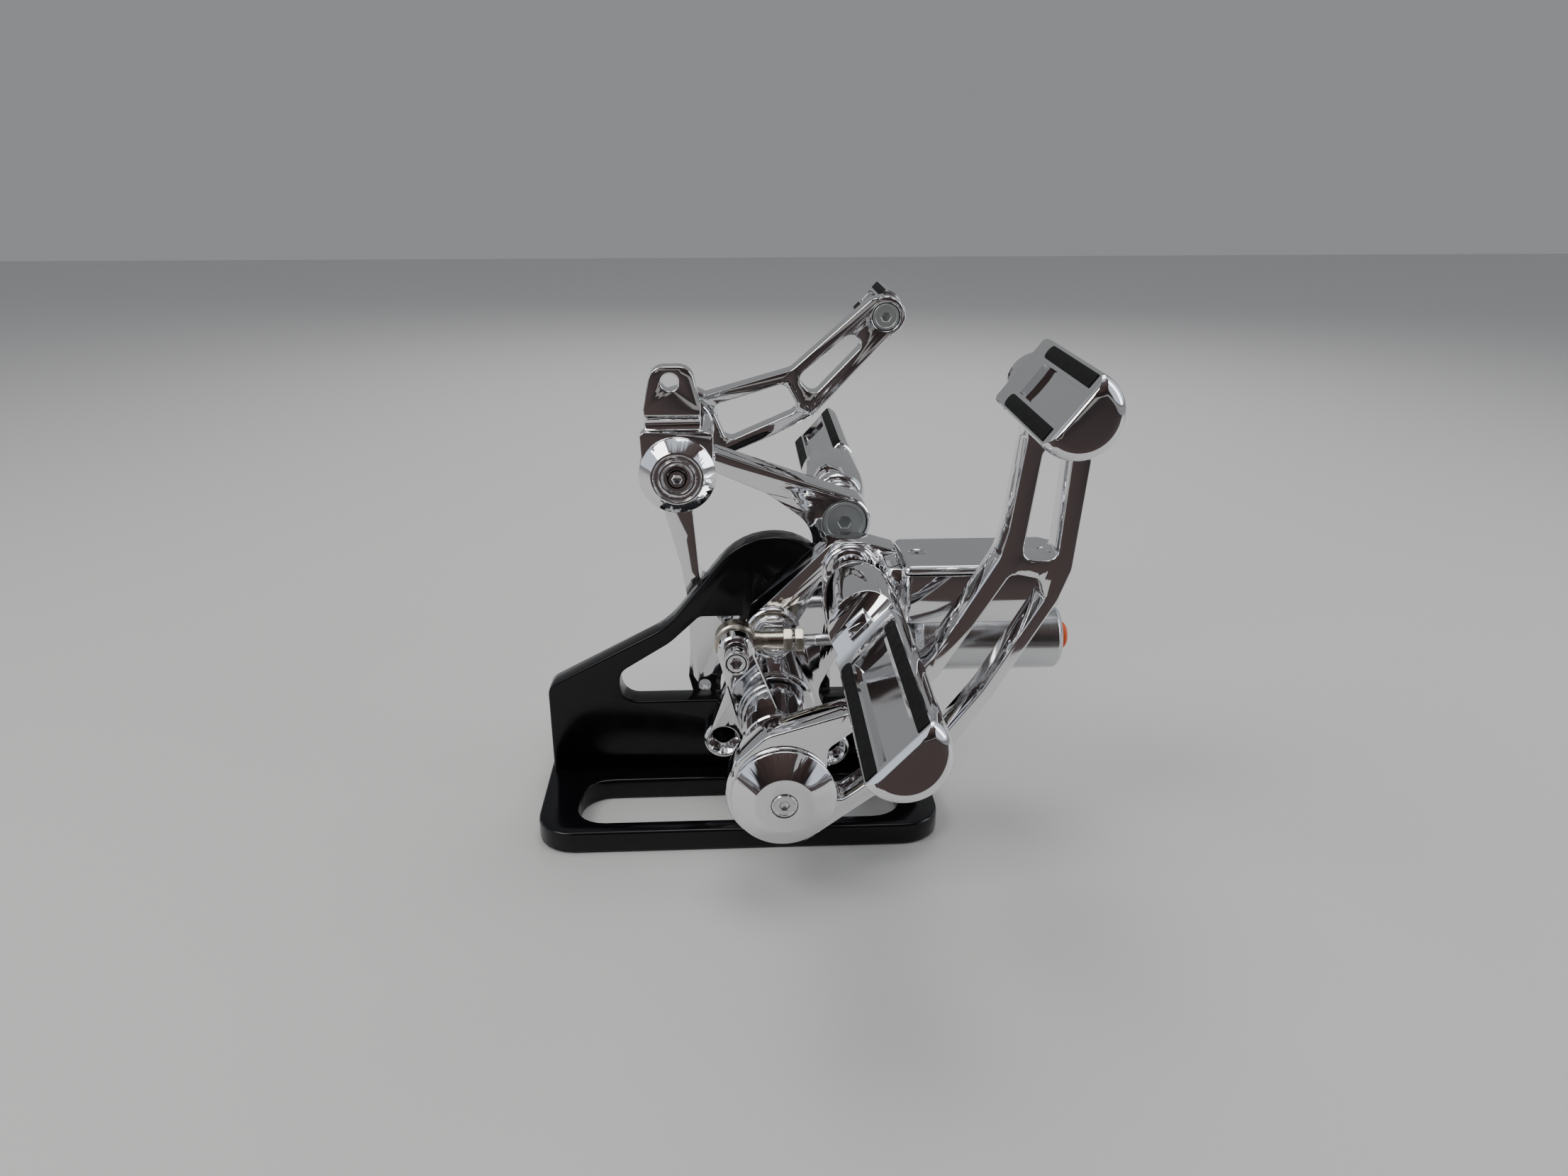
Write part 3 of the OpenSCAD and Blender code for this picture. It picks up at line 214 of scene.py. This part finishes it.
card_mesh.materials.append(card_finish)
card.location.z = CARD_LIFT
card.visible_camera = False
card.visible_diffuse = False
card.visible_shadow = False
print("card starts", -CARD_NEAR / MM, "mm in front of the middle")

# %% [markdown]
# ## The lights
# Large soft panels give long clean highlights on the barrels and bevels.
# The main one hangs above and to the left, as the window does in the photograph,
# and weaker ones keep the right side and the back from sinking into black.


# %% Soft panels
def soft_panel(name, place, aim, size, power, colour):
    """A square area light at place, turned so that it faces aim."""
    data = bpy.data.lights.new(name, "AREA")
    data.shape = "RECTANGLE"
    data.size, data.size_y = size
    data.energy = power
    data.color = colour
    panel = bpy.data.objects.new(name, data)
    panel.location = place
    panel.rotation_euler = (Vector(aim) - Vector(place)).to_track_quat("-Z", "Y").to_euler()
    bpy.context.scene.collection.objects.link(panel)
    return panel


MIDDLE = (0.02, 0.0, 0.12)
soft_panel("main_panel", (-0.9, -0.55, 1.25), MIDDLE, (0.9, 0.7), 11, (1.0, 0.99, 0.97))
soft_panel("right_panel", (1.3, -0.2, 0.7), MIDDLE, (0.5, 0.9), 5, (0.95, 0.97, 1.0))
back_panel = soft_panel("back_panel", (0.2, 1.3, 1.0), MIDDLE, (1.2, 0.5), 8.5, (1.0, 1.0, 1.0))
soft_panel("top_panel", (0.1, 0.05, 1.5), MIDDLE, (0.7, 0.7), 5.5, (1.0, 1.0, 1.0))
# The wall behind has no lamp in the photograph, so chrome must not mirror this one
back_panel.visible_glossy = False
print("panels: 4")

# %% [markdown]
# ## Finishes
# Each finish is one shader with noise read at Object coordinates, so that it stays
# on the piece when the piece moves. Chrome gets a very faint uneven polish and thin
# smears; without them it looks like glass from a computer.


# %% A shader with uneven polish
COAT_ROUGHNESS = 0.06
NOISE_SPAN = (0.35, 0.7)


def new_finish(name, colour, metallic, roughness, coat=0.0):
    """A plain principled shader whose even values sit on its own sockets."""
    finish = bpy.data.materials.new(name)
    finish.use_nodes = True
    shader = finish.node_tree.nodes["Principled BSDF"]
    shader.inputs["Base Color"].default_value = (*colour, 1)
    shader.inputs["Metallic"].default_value = metallic
    shader.inputs["Roughness"].default_value = roughness
    shader.inputs["Coat Weight"].default_value = coat
    shader.inputs["Coat Roughness"].default_value = COAT_ROUGHNESS
    return finish


def object_noise(finish, scale, stretch=(1, 1, 1), detail=4.0):
    """Noise at Object coordinates; stretch scales each axis, so a small number draws the grain out."""
    tree = finish.node_tree
    coordinates = tree.nodes.new("ShaderNodeTexCoord")
    mapping = tree.nodes.new("ShaderNodeMapping")
    mapping.inputs["Scale"].default_value = stretch
    noise = tree.nodes.new("ShaderNodeTexNoise")
    noise.inputs["Scale"].default_value = scale
    noise.inputs["Detail"].default_value = detail
    tree.links.new(coordinates.outputs["Object"], mapping.inputs["Vector"])
    tree.links.new(mapping.outputs["Vector"], noise.inputs["Vector"])
    return noise


def vary_roughness(finish, noise, low, high):
    """Roughness runs from low to high as the noise runs over its middle range."""
    tree = finish.node_tree
    span = tree.nodes.new("ShaderNodeMapRange")
    span.inputs["From Min"].default_value = NOISE_SPAN[0]
    span.inputs["From Max"].default_value = NOISE_SPAN[1]
    span.inputs["To Min"].default_value = low
    span.inputs["To Max"].default_value = high
    tree.links.new(noise.outputs["Fac"], span.inputs["Value"])
    tree.links.new(span.outputs["Result"], tree.nodes["Principled BSDF"].inputs["Roughness"])


def vary_height(finish, noise, distance, strength=1.0):
    """A bump whose height is the noise times distance, in metres."""
    tree = finish.node_tree
    bump = tree.nodes.new("ShaderNodeBump")
    bump.inputs["Strength"].default_value = strength
    bump.inputs["Distance"].default_value = distance
    tree.links.new(noise.outputs["Fac"], bump.inputs["Height"])
    tree.links.new(bump.outputs["Normal"], tree.nodes["Principled BSDF"].inputs["Normal"])


# %% The finishes of this object
chrome = new_finish("mirror_chrome", (0.80, 0.80, 0.815), 1.0, 0.04)
vary_roughness(chrome, object_noise(chrome, 55), 0.025, 0.075)
vary_height(chrome, object_noise(chrome, 32, detail=1.5), 0.00004, 0.35)

steel = new_finish("bright_steel", (0.66, 0.66, 0.67), 1.0, 0.16)
vary_roughness(steel, object_noise(steel, 160), 0.10, 0.24)

satin = new_finish("satin_steel", (0.36, 0.38, 0.375), 0.55, 0.38)
vary_roughness(satin, object_noise(satin, 160), 0.32, 0.44)

dark_steel = new_finish("dark_steel", (0.11, 0.11, 0.115), 1.0, 0.32)
vary_roughness(dark_steel, object_noise(dark_steel, 220), 0.24, 0.42)

black = new_finish("black_anodised", (0.0035, 0.0035, 0.0045), 0.0, 0.16)
black.node_tree.nodes["Principled BSDF"].inputs["Specular IOR Level"].default_value = 0.32
vary_roughness(black, object_noise(black, 70), 0.12, 0.22)
vary_height(black, object_noise(black, 900, detail=2), 0.00002, 0.15)

aluminium = new_finish("turned_aluminium", (0.62, 0.63, 0.64), 1.0, 0.30)
vary_roughness(aluminium, object_noise(aluminium, 60, (40, 1, 1)), 0.18, 0.26)

zinc = new_finish("yellow_zinc", (0.47, 0.43, 0.36), 1.0, 0.27)
vary_roughness(zinc, object_noise(zinc, 180), 0.2, 0.36)

bronze = new_finish("sintered_bronze", (0.52, 0.36, 0.17), 1.0, 0.42)
vary_roughness(bronze, object_noise(bronze, 300), 0.35, 0.55)

rubber = new_finish("black_rubber", (0.004, 0.004, 0.004), 0.0, 0.72)
rubber.node_tree.nodes["Principled BSDF"].inputs["Specular IOR Level"].default_value = 0.2
vary_roughness(rubber, object_noise(rubber, 250), 0.62, 0.82)
vary_height(rubber, object_noise(rubber, 1400, detail=2), 0.00006, 0.5)

orange = new_finish("orange_plastic", (0.80, 0.115, 0.02), 0.0, 0.45)
vary_roughness(orange, object_noise(orange, 200), 0.4, 0.55)

FINISHES = {
    "chrome": chrome,
    "bright_steel": steel,
    "dark_screws": dark_steel,
    "black_anodised": black,
    "aluminium": aluminium,
    "zinc": zinc,
    "bronze": bronze,
    "rubber": rubber,
    "orange_plug": orange,
}
slot_of = {part["node"]: part["material_slot"] for part in frame["record"]["subparts"]}
for name, node in frame["nodes"].items():
    for material_slot in node.material_slots:
        material_slot.material = FINISHES[slot_of[name]]
print("finishes:", len(FINISHES))

# %% [markdown]
# ## Softened edges
# A real plate is never sharp: the polisher rounds each edge, and that thin round
# line is what catches the light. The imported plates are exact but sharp, so each
# shown plate gets a copy. The copy's loose triangles are joined, flat ones are
# merged into whole faces, and a Bevel modifier rounds every edge that turns by
# more than a given angle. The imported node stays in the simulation, hidden.

# %% Copies with bevelled edges
body_of = {}
for body, members in frame["record"]["behaviour"]["bodies"].items():
    for member in members:
        body_of[member] = body

SHORT_EDGE = 0.12 * MM
FLAT_ANGLE = 0.6


def merged_mesh(node, name):
    """The node's triangles with their corners joined, flat neighbours dissolved into one face."""
    mesh = frame["nodes"][node].data.copy()
    mesh.name = name
    work = bmesh.new()
    work.from_mesh(mesh)
    bmesh.ops.remove_doubles(work, verts=work.verts, dist=SHORT_EDGE)
    bmesh.ops.dissolve_limit(
        work,
        angle_limit=math.radians(FLAT_ANGLE),
        verts=work.verts,
        edges=work.edges,
        delimit={"NORMAL"},
    )
    for face in work.faces:
        face.smooth = True
    work.to_mesh(mesh)
    work.free()
    return mesh


def softened(node, radius, steps=3, angle=28):
    """A copy of a CAD node whose edges over that angle, in degrees, are rounded to radius, in mm."""
    mesh = merged_mesh(node, "soft_" + node)
    piece = bpy.data.objects.new("soft_" + node, mesh)
    bpy.context.scene.collection.objects.link(piece)
    bevel = piece.modifiers.new("edges", "BEVEL")
    bevel.width = radius * MM
    bevel.segments = steps
    bevel.limit_method = "ANGLE"
    bevel.angle_limit = math.radians(angle)
    bevel.harden_normals = True
    bevel.use_clamp_overlap = False
    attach(piece, body_of[node])
    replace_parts(piece, node)
    return piece


SOFT_EDGES = {
    "base_plate": 1.4,
    "upright_plate": 1.2,
    "right_bracket": 0.5,
    "left_bracket": 0.35,
    "brake_pedal": 0.9,
    "linkage_arm": 0.7,
    "shift_lever": 0.9,
    "reservoir": 0.5,
    "reservoir_lid": 0.4,
    "right_peg_mount": 0.4,
    "left_peg_mount": 0.4,
    "main_nut": 0.4,
    "main_bolt": 0.4,
    "rod_nuts": 0.2,
    "right_peg_rubbers": 0.5,
    "left_peg_rubbers": 0.5,
    "brake_pad_rubbers": 0.5,
    "toe_peg_rubbers": 0.5,
    "pedal_cap": 0.4,
    "shift_cap": 0.3,
    "shift_end_cap": 0.3,
    "cylinder_barrel": 0.5,
    "rod_end_spacer": 0.3,
    "port_plug": 0.3,
}
for node, radius in SOFT_EDGES.items():
    softened(node, radius)
print("softened:", len(SOFT_EDGES))

# %% [markdown]
# ## The pushrod and its thread
# The rod is one turned bar. Its left end carries a thread of 1 mm pitch, on which
# the two nuts hold the rod end, and the rest is plain. The CAD rod is a smooth
# cylinder, and a painted thread would look flat, so the rod is made again as one
# grid: along the bar and round it, with the radius worked out at every point.

# %% Grids into meshes
def grid_piece(name, points, body, slot, closed_v=True, caps=False):
    """A piece from a grid of points (along u, round v); caps close the two ends with one face each."""
    rows, columns, _ = points.shape
    index = np.arange(rows * columns).reshape(rows, columns)
    right = np.roll(index, -1, axis=1)
    faces = np.stack([index[:-1], right[:-1], right[1:], index[1:]], axis=-1)
    if not closed_v:
        faces = faces[:, :-1]
    faces = faces.reshape(-1, 4).tolist()
    if caps:
        faces += [index[0][::-1].tolist(), index[-1].tolist()]
    mesh = bpy.data.meshes.new(name)
    mesh.from_pydata(points.reshape(-1, 3).tolist(), [], faces)
    work = bmesh.new()
    work.from_mesh(mesh)
    bmesh.ops.recalc_face_normals(work, faces=work.faces)
    work.to_mesh(mesh)
    work.free()
    mesh.shade_smooth()
    mesh.materials.append(FINISHES[slot])
    piece = bpy.data.objects.new(name, mesh)
    bpy.context.scene.collection.objects.link(piece)
    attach(piece, body)
    return piece


# %% The threaded rod
PITCH = 1.0 * MM
THREAD_DEPTH = 0.55 * MM
THREAD_END = 40.5 * MM
ROD_TIP_RADIUS = 1.25 * MM
low, high = (np.array(corner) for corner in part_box("pushrod"))
rod_radius = (high[2] - low[2]) / 2
rod_middle = (low + high) / 2


def rod_points(steps_round=48, steps_a_pitch=10):
    """Radius = R - depth * wave * fade, where wave is a triangle in x / pitch - angle / 360.

    The fade goes from 1 to 0 over the last pitch and a half of the thread, and the far
    end narrows to the small tip that pushes the piston.
    """
    threaded = np.arange(low[0], THREAD_END + PITCH, PITCH / steps_a_pitch)
    plain = np.array([THREAD_END + 2 * PITCH, high[0] - 3.2 * MM, high[0] - 2.6 * MM, high[0]])
    x = np.concatenate([threaded, plain])[:, None]
    angle = np.linspace(0, 2 * np.pi, steps_round, endpoint=False)[None, :]
    turn = np.mod(x / PITCH - angle / (2 * np.pi), 1.0)
    wave = 1 - np.clip(np.abs(2 * turn - 1) * 1.25, 0, 1)
    fade = np.clip((THREAD_END - x) / (1.5 * PITCH), 0, 1)
    radius = rod_radius - THREAD_DEPTH * wave * fade
    radius = np.where(x > high[0] - MM, ROD_TIP_RADIUS, radius)
    y = rod_middle[1] + radius * np.cos(angle)
    z = rod_middle[2] + radius * np.sin(angle)
    return np.stack([np.broadcast_to(x, radius.shape), y, z], axis=-1)


rod = grid_piece("threaded_pushrod", rod_points(), "rod", "bright_steel", caps=True)
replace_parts(rod, "pushrod")
print("rod faces:", len(rod.data.polygons))

# %% [markdown]
# ## The rubbered barrels
# Each footpeg, the pedal's pad and the toe peg are round bars with one flat side.
# A ramp leads down to the flat, two rubber strips lie in it, and a channel runs
# between them. The tip has a round rim. One formula makes all four, from sections
# that stand in a row along the bar.

# %% Barrel sections
RAMP_LENGTH = 8 * MM
RAMP_RISE = 2.2 * MM
CHANNEL_START = 14 * MM
CHANNEL_DEPTH = 3.2 * MM
CHANNEL_WALL = 0.4 * MM
CORNER = 0.5 * MM
REAR_CHAMFER = 0.8 * MM
# Share of the tip's rounding that the flat and its corners take
FLAT_SHARE = 0.35
CORNER_SHARE = 0.4


def barrel_sections(length, radius, flat, tip):
    """Station, radius, height of the flat and share of the channel's depth, along the bar.

    The tip's radius shrinks by tip * (1 - cos t) while the station grows by tip * sin t.
    """
    t = np.radians(np.linspace(0, 90, 10))
    rim = length - tip
    plain = [
        (0, radius - REAR_CHAMFER, flat + RAMP_RISE, 0),
        (REAR_CHAMFER, radius, flat + 0.9 * RAMP_RISE, 0),
        (RAMP_LENGTH, radius, flat, 0),
        (CHANNEL_START, radius, flat, 0),
        (CHANNEL_START + 0.5 * MM, radius, flat, 1),
        (rim - 1.0 * MM, radius, flat, 1),
        (rim - 0.5 * MM, radius, flat, 0),
    ]
    shrink = tip * (1 - np.cos(t))
    ends = np.stack([rim + tip * np.sin(t), radius - shrink, flat - FLAT_SHARE * shrink, 0 * t], axis=1)
    return np.concatenate([np.array(plain), ends])


def barrel_points(length, radius, flat, tip, half, steps=64):
    """Sections of an arc of radius R below, and above it the line y = F - depth * share.

    The arc ends where it meets the flat, less a small corner; half is half the channel's width.
    """
    sections = barrel_sections(length, radius, flat, tip)
    station, size, height, share = (column[:, None] for column in sections.T)
    corner = CORNER + CORNER_SHARE * (radius - size) * (station > length / 2)
    meet = np.arcsin(height / size) - corner / size
    angle = meet - (np.pi + 2 * meet) * np.linspace(0, 1, steps)[None, :]
    reach = np.sqrt(size ** 2 - height ** 2) - corner
    inner = np.array([-half, CHANNEL_WALL - half, -0.4 * half, 0.4 * half, half - CHANNEL_WALL, half])
    drop = np.array([0, 0.92, 1, 1, 0.92, 0])[None, :]
    x = np.concatenate([size * np.cos(angle), -reach, np.broadcast_to(inner, (len(size), 6)), reach], axis=1)
    top = np.concatenate([height, height - CHANNEL_DEPTH * share * drop, height], axis=1)
    y = np.concatenate([size * np.sin(angle), top], axis=1)
    return np.stack([x, y, np.broadcast_to(station, x.shape)], axis=-1)


def crisp(piece, angle):
    """Edges over that angle, in degrees, stay sharp, and the rest are shaded smooth."""
    piece.data.set_sharp_from_angle(angle=math.radians(angle))
    return piece


# %% Four barrels from one formula
# Node, rear end of its axis, direction along Y and turn of the flat,
# then in mm: length, radius, height of the flat, rounding of the tip, half the channel's width
BARRELS = [
    ("right_peg", (59.8, -116, 136.5), -1, 47, 107, 18.2, 4.0, 5.6, 8.9),
    ("left_peg", (59.8, 116, 152), 1, 47, 107, 18.2, 4.0, 5.6, 8.9),
    ("brake_pad", (123, -113, 254), -1, 52, 75, 16.8, 4.0, 6.0, 7.5),
    ("toe_peg", (90, 113, 249), 1, 47, 56, 13.0, 4.5, 4.5, 4.4),
]
for node, rear, way, turn, *sizes in BARRELS:
    local = barrel_points(*(size * MM for size in sizes))
    low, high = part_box(node)
    tilt = math.radians(turn)
    across = np.array([math.cos(tilt), 0, math.sin(tilt)])
    upward = np.array([-math.sin(tilt), 0, math.cos(tilt)])
    along = np.array([0, way, 0])
    world_points = local[..., :1] * across + local[..., 1:2] * upward + local[..., 2:] * along
    world_points = world_points + np.array(rear) * MM
    piece = grid_piece("barrel_of_" + node, world_points, body_of[node], slot_of[node], caps=True)
    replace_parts(crisp(piece, 32), node)
    print(node, "faces:", len(piece.data.polygons), "box y in mm:", round(low[1] / MM), round(high[1] / MM))

# %% [markdown]
# ## The arm on the pedal's hub
# The arm that pushes the cylinder grows out of a sleeve round the hub. The sleeve's
# rear edge sweeps round the tube: it is long on the left and runs out on the right.
# A narrow web stands on it and carries the pin of the rod end.

# %% Sleeve and web
HUB_AXIS = np.array([20.8, 57.3]) * MM
PIN_AXIS = np.array([-0.3, 108.0]) * MM
SLEEVE_FRONT = -69 * MM
SLEEVE_INSIDE = 17.3 * MM
SLEEVE_OUTSIDE = 19.4 * MM
SLEEVE_BEVEL = 0.7 * MM
# The sleeve reaches its full thickness this many degrees after each of its ends
SLEEVE_TAPER = 14
# Angle round the hub in degrees (90 is the top, 180 the left) and the rear edge along Y in mm
REAR_EDGE = [
    (64, -68.6),
    (81, -67),
    (96, -60),
    (114, -45),
    (126, -31),
    (135, -28.6),
    (236, -28.6),
    (248, -31),
    (262, -45),
    (280, -60),
    (296, -67),
    (312, -68.6),
]
WEB_BOSS = 9.2 * MM
WEB_FOOT = 18.6 * MM


def sleeve_points(steps=150):
    """A band round the hub: its front is level, and its rear edge follows REAR_EDGE.

    The thickness grows in a straight line over SLEEVE_TAPER degrees from each end.
    """
    degrees = np.linspace(REAR_EDGE[0][0], REAR_EDGE[-1][0], steps)
    rear = np.interp(degrees, *np.array(REAR_EDGE).T) * MM
    from_end = np.minimum(degrees - REAR_EDGE[0][0], REAR_EDGE[-1][0] - degrees)
    full = np.clip(from_end / SLEEVE_TAPER, 0, 1)
    outer = SLEEVE_INSIDE + (SLEEVE_OUTSIDE - SLEEVE_INSIDE) * full
    edge = np.minimum(SLEEVE_BEVEL, (rear - SLEEVE_FRONT) / 3)
    low_rim = np.maximum(outer - edge, SLEEVE_INSIDE)
    inner = np.full_like(outer, SLEEVE_INSIDE)
    radius = np.stack([inner, low_rim, outer, outer, low_rim, inner], axis=1)
    front = np.full_like(rear, SLEEVE_FRONT)
    y = np.stack([front, front, front + edge, rear - edge, rear, rear], axis=1)
    angle = np.radians(degrees)[:, None]
    x = HUB_AXIS[0] + radius * np.cos(angle)
    z = HUB_AXIS[1] + radius * np.sin(angle)
    return np.stack([x, y, z], axis=-1)


def web_points(y_front=-63 * MM, y_rear=-54 * MM, edge=0.9 * MM):
    """A plate whose outline is an arc round the pin joined to an arc on the hub, with bevelled edges."""
    top = np.radians(np.linspace(-10, 190, 40))
    foot = np.radians(np.linspace(172, 92, 16))
    rings = []
    for y, inset in ((y_front, edge), (y_front + edge, 0), (y_rear - edge, 0), (y_rear, edge)):
        boss = PIN_AXIS + (WEB_BOSS - inset) * np.stack([np.cos(top), np.sin(top)], axis=1)
        hub = HUB_AXIS + (WEB_FOOT - inset) * np.stack([np.cos(foot), np.sin(foot)], axis=1)
        outline = np.concatenate([boss, hub])
        rings.append(np.stack([outline[:, 0], np.full(len(outline), y), outline[:, 1]], axis=1))
    return np.array(rings)


sleeve = grid_piece("arm_sleeve", sleeve_points(), "brake", "chrome", caps=True)
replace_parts(crisp(sleeve, 30), "actuating_arm")
web = crisp(grid_piece("arm_web", web_points(), "brake", "chrome", caps=True), 30)
print("sleeve faces:", len(sleeve.data.polygons), "web faces:", len(web.data.polygons))

# %% [markdown]
# ## Screws with a socket
# The heads that face us have a six-sided hole. Each one is a surface of revolution
# whose radius changes, inside the hole, from a circle to a hexagon.

# %% Socket heads
RIM_BEVEL = 0.5 * MM
RING_DEPTH = 0.35 * MM
RING_SLOPE = 0.2 * MM
HOLE_BEVEL = 0.4 * MM
HOLE_DEPTH = 0.7
POLE = 0.01 * MM


def socket_points(node, head, height, across, ring):
    """Profile of shank, head, ring and hole, turned about the screw's axis.

    In the hole the radius is half the width across the flats / cos(angle from a flat's middle).
    """
    low, high = (np.array(corner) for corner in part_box(node))
    middle_x, middle_z = (low[0] + high[0]) / 2, (low[2] + high[2]) / 2
    front, back = low[1], high[1]
    head, height, across = head / 2 * MM, height * MM, across / 2 * MM
    turn = np.linspace(0, 2 * np.pi, 72, endpoint=False)
    hexagon = across / np.cos(np.mod(turn, np.pi / 3) - np.pi / 6)
    round_one = np.ones_like(turn)
    inside = head - ring * MM
    sunk = RING_DEPTH if ring else 0.0
    bottom = front + HOLE_DEPTH * height
    profile = [
        (POLE * round_one, back),
        (head * 0.3 * round_one, back),
        (head * 0.3 * round_one, front + height),
        (head * round_one, front + height),
        (head * round_one, front + RIM_BEVEL),
        ((head - RIM_BEVEL) * round_one, front),
        ((inside + RING_SLOPE) * round_one, front),
        ((inside - RING_SLOPE) * round_one, front + sunk),
        (hexagon + HOLE_BEVEL, front + sunk),
        (hexagon, front + sunk + 0.75 * HOLE_BEVEL),
        (hexagon, bottom),
        (POLE * round_one, bottom + RIM_BEVEL),
    ]
    radius = np.array([row for row, _ in profile])
    y = np.broadcast_to(np.array([place for _, place in profile])[:, None], radius.shape)
    return np.stack([middle_x + radius * np.cos(turn), y, middle_z + radius * np.sin(turn)], axis=-1)


# Heads wider than this many mm are satin, as in the photograph
SATIN_FROM = 15
# Node, then in mm: head's diameter and height, width across the hole's flats, width of the outer ring
SOCKETS = [
    ("pedal_cap_screw", 12.0, 2.4, 4.0, 1.2),
    ("shift_cap_screw", 9.4, 2.6, 4.2, 0.0),
    ("rod_end_screw", 10.0, 6.0, 5.0, 0.0),
    ("left_peg_bolt", 23.6, 3.0, 6.2, 2.2),
    ("toe_peg_bolt", 15.6, 3.0, 5.0, 1.6),
]
for node, *sizes in SOCKETS:
    piece = grid_piece("socket_" + node, socket_points(node, *sizes), body_of[node], slot_of[node], caps=True)
    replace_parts(crisp(piece, 30), node)
    if sizes[0] > SATIN_FROM:
        piece.data.materials[0] = satin
print("socket heads:", len(SOCKETS))
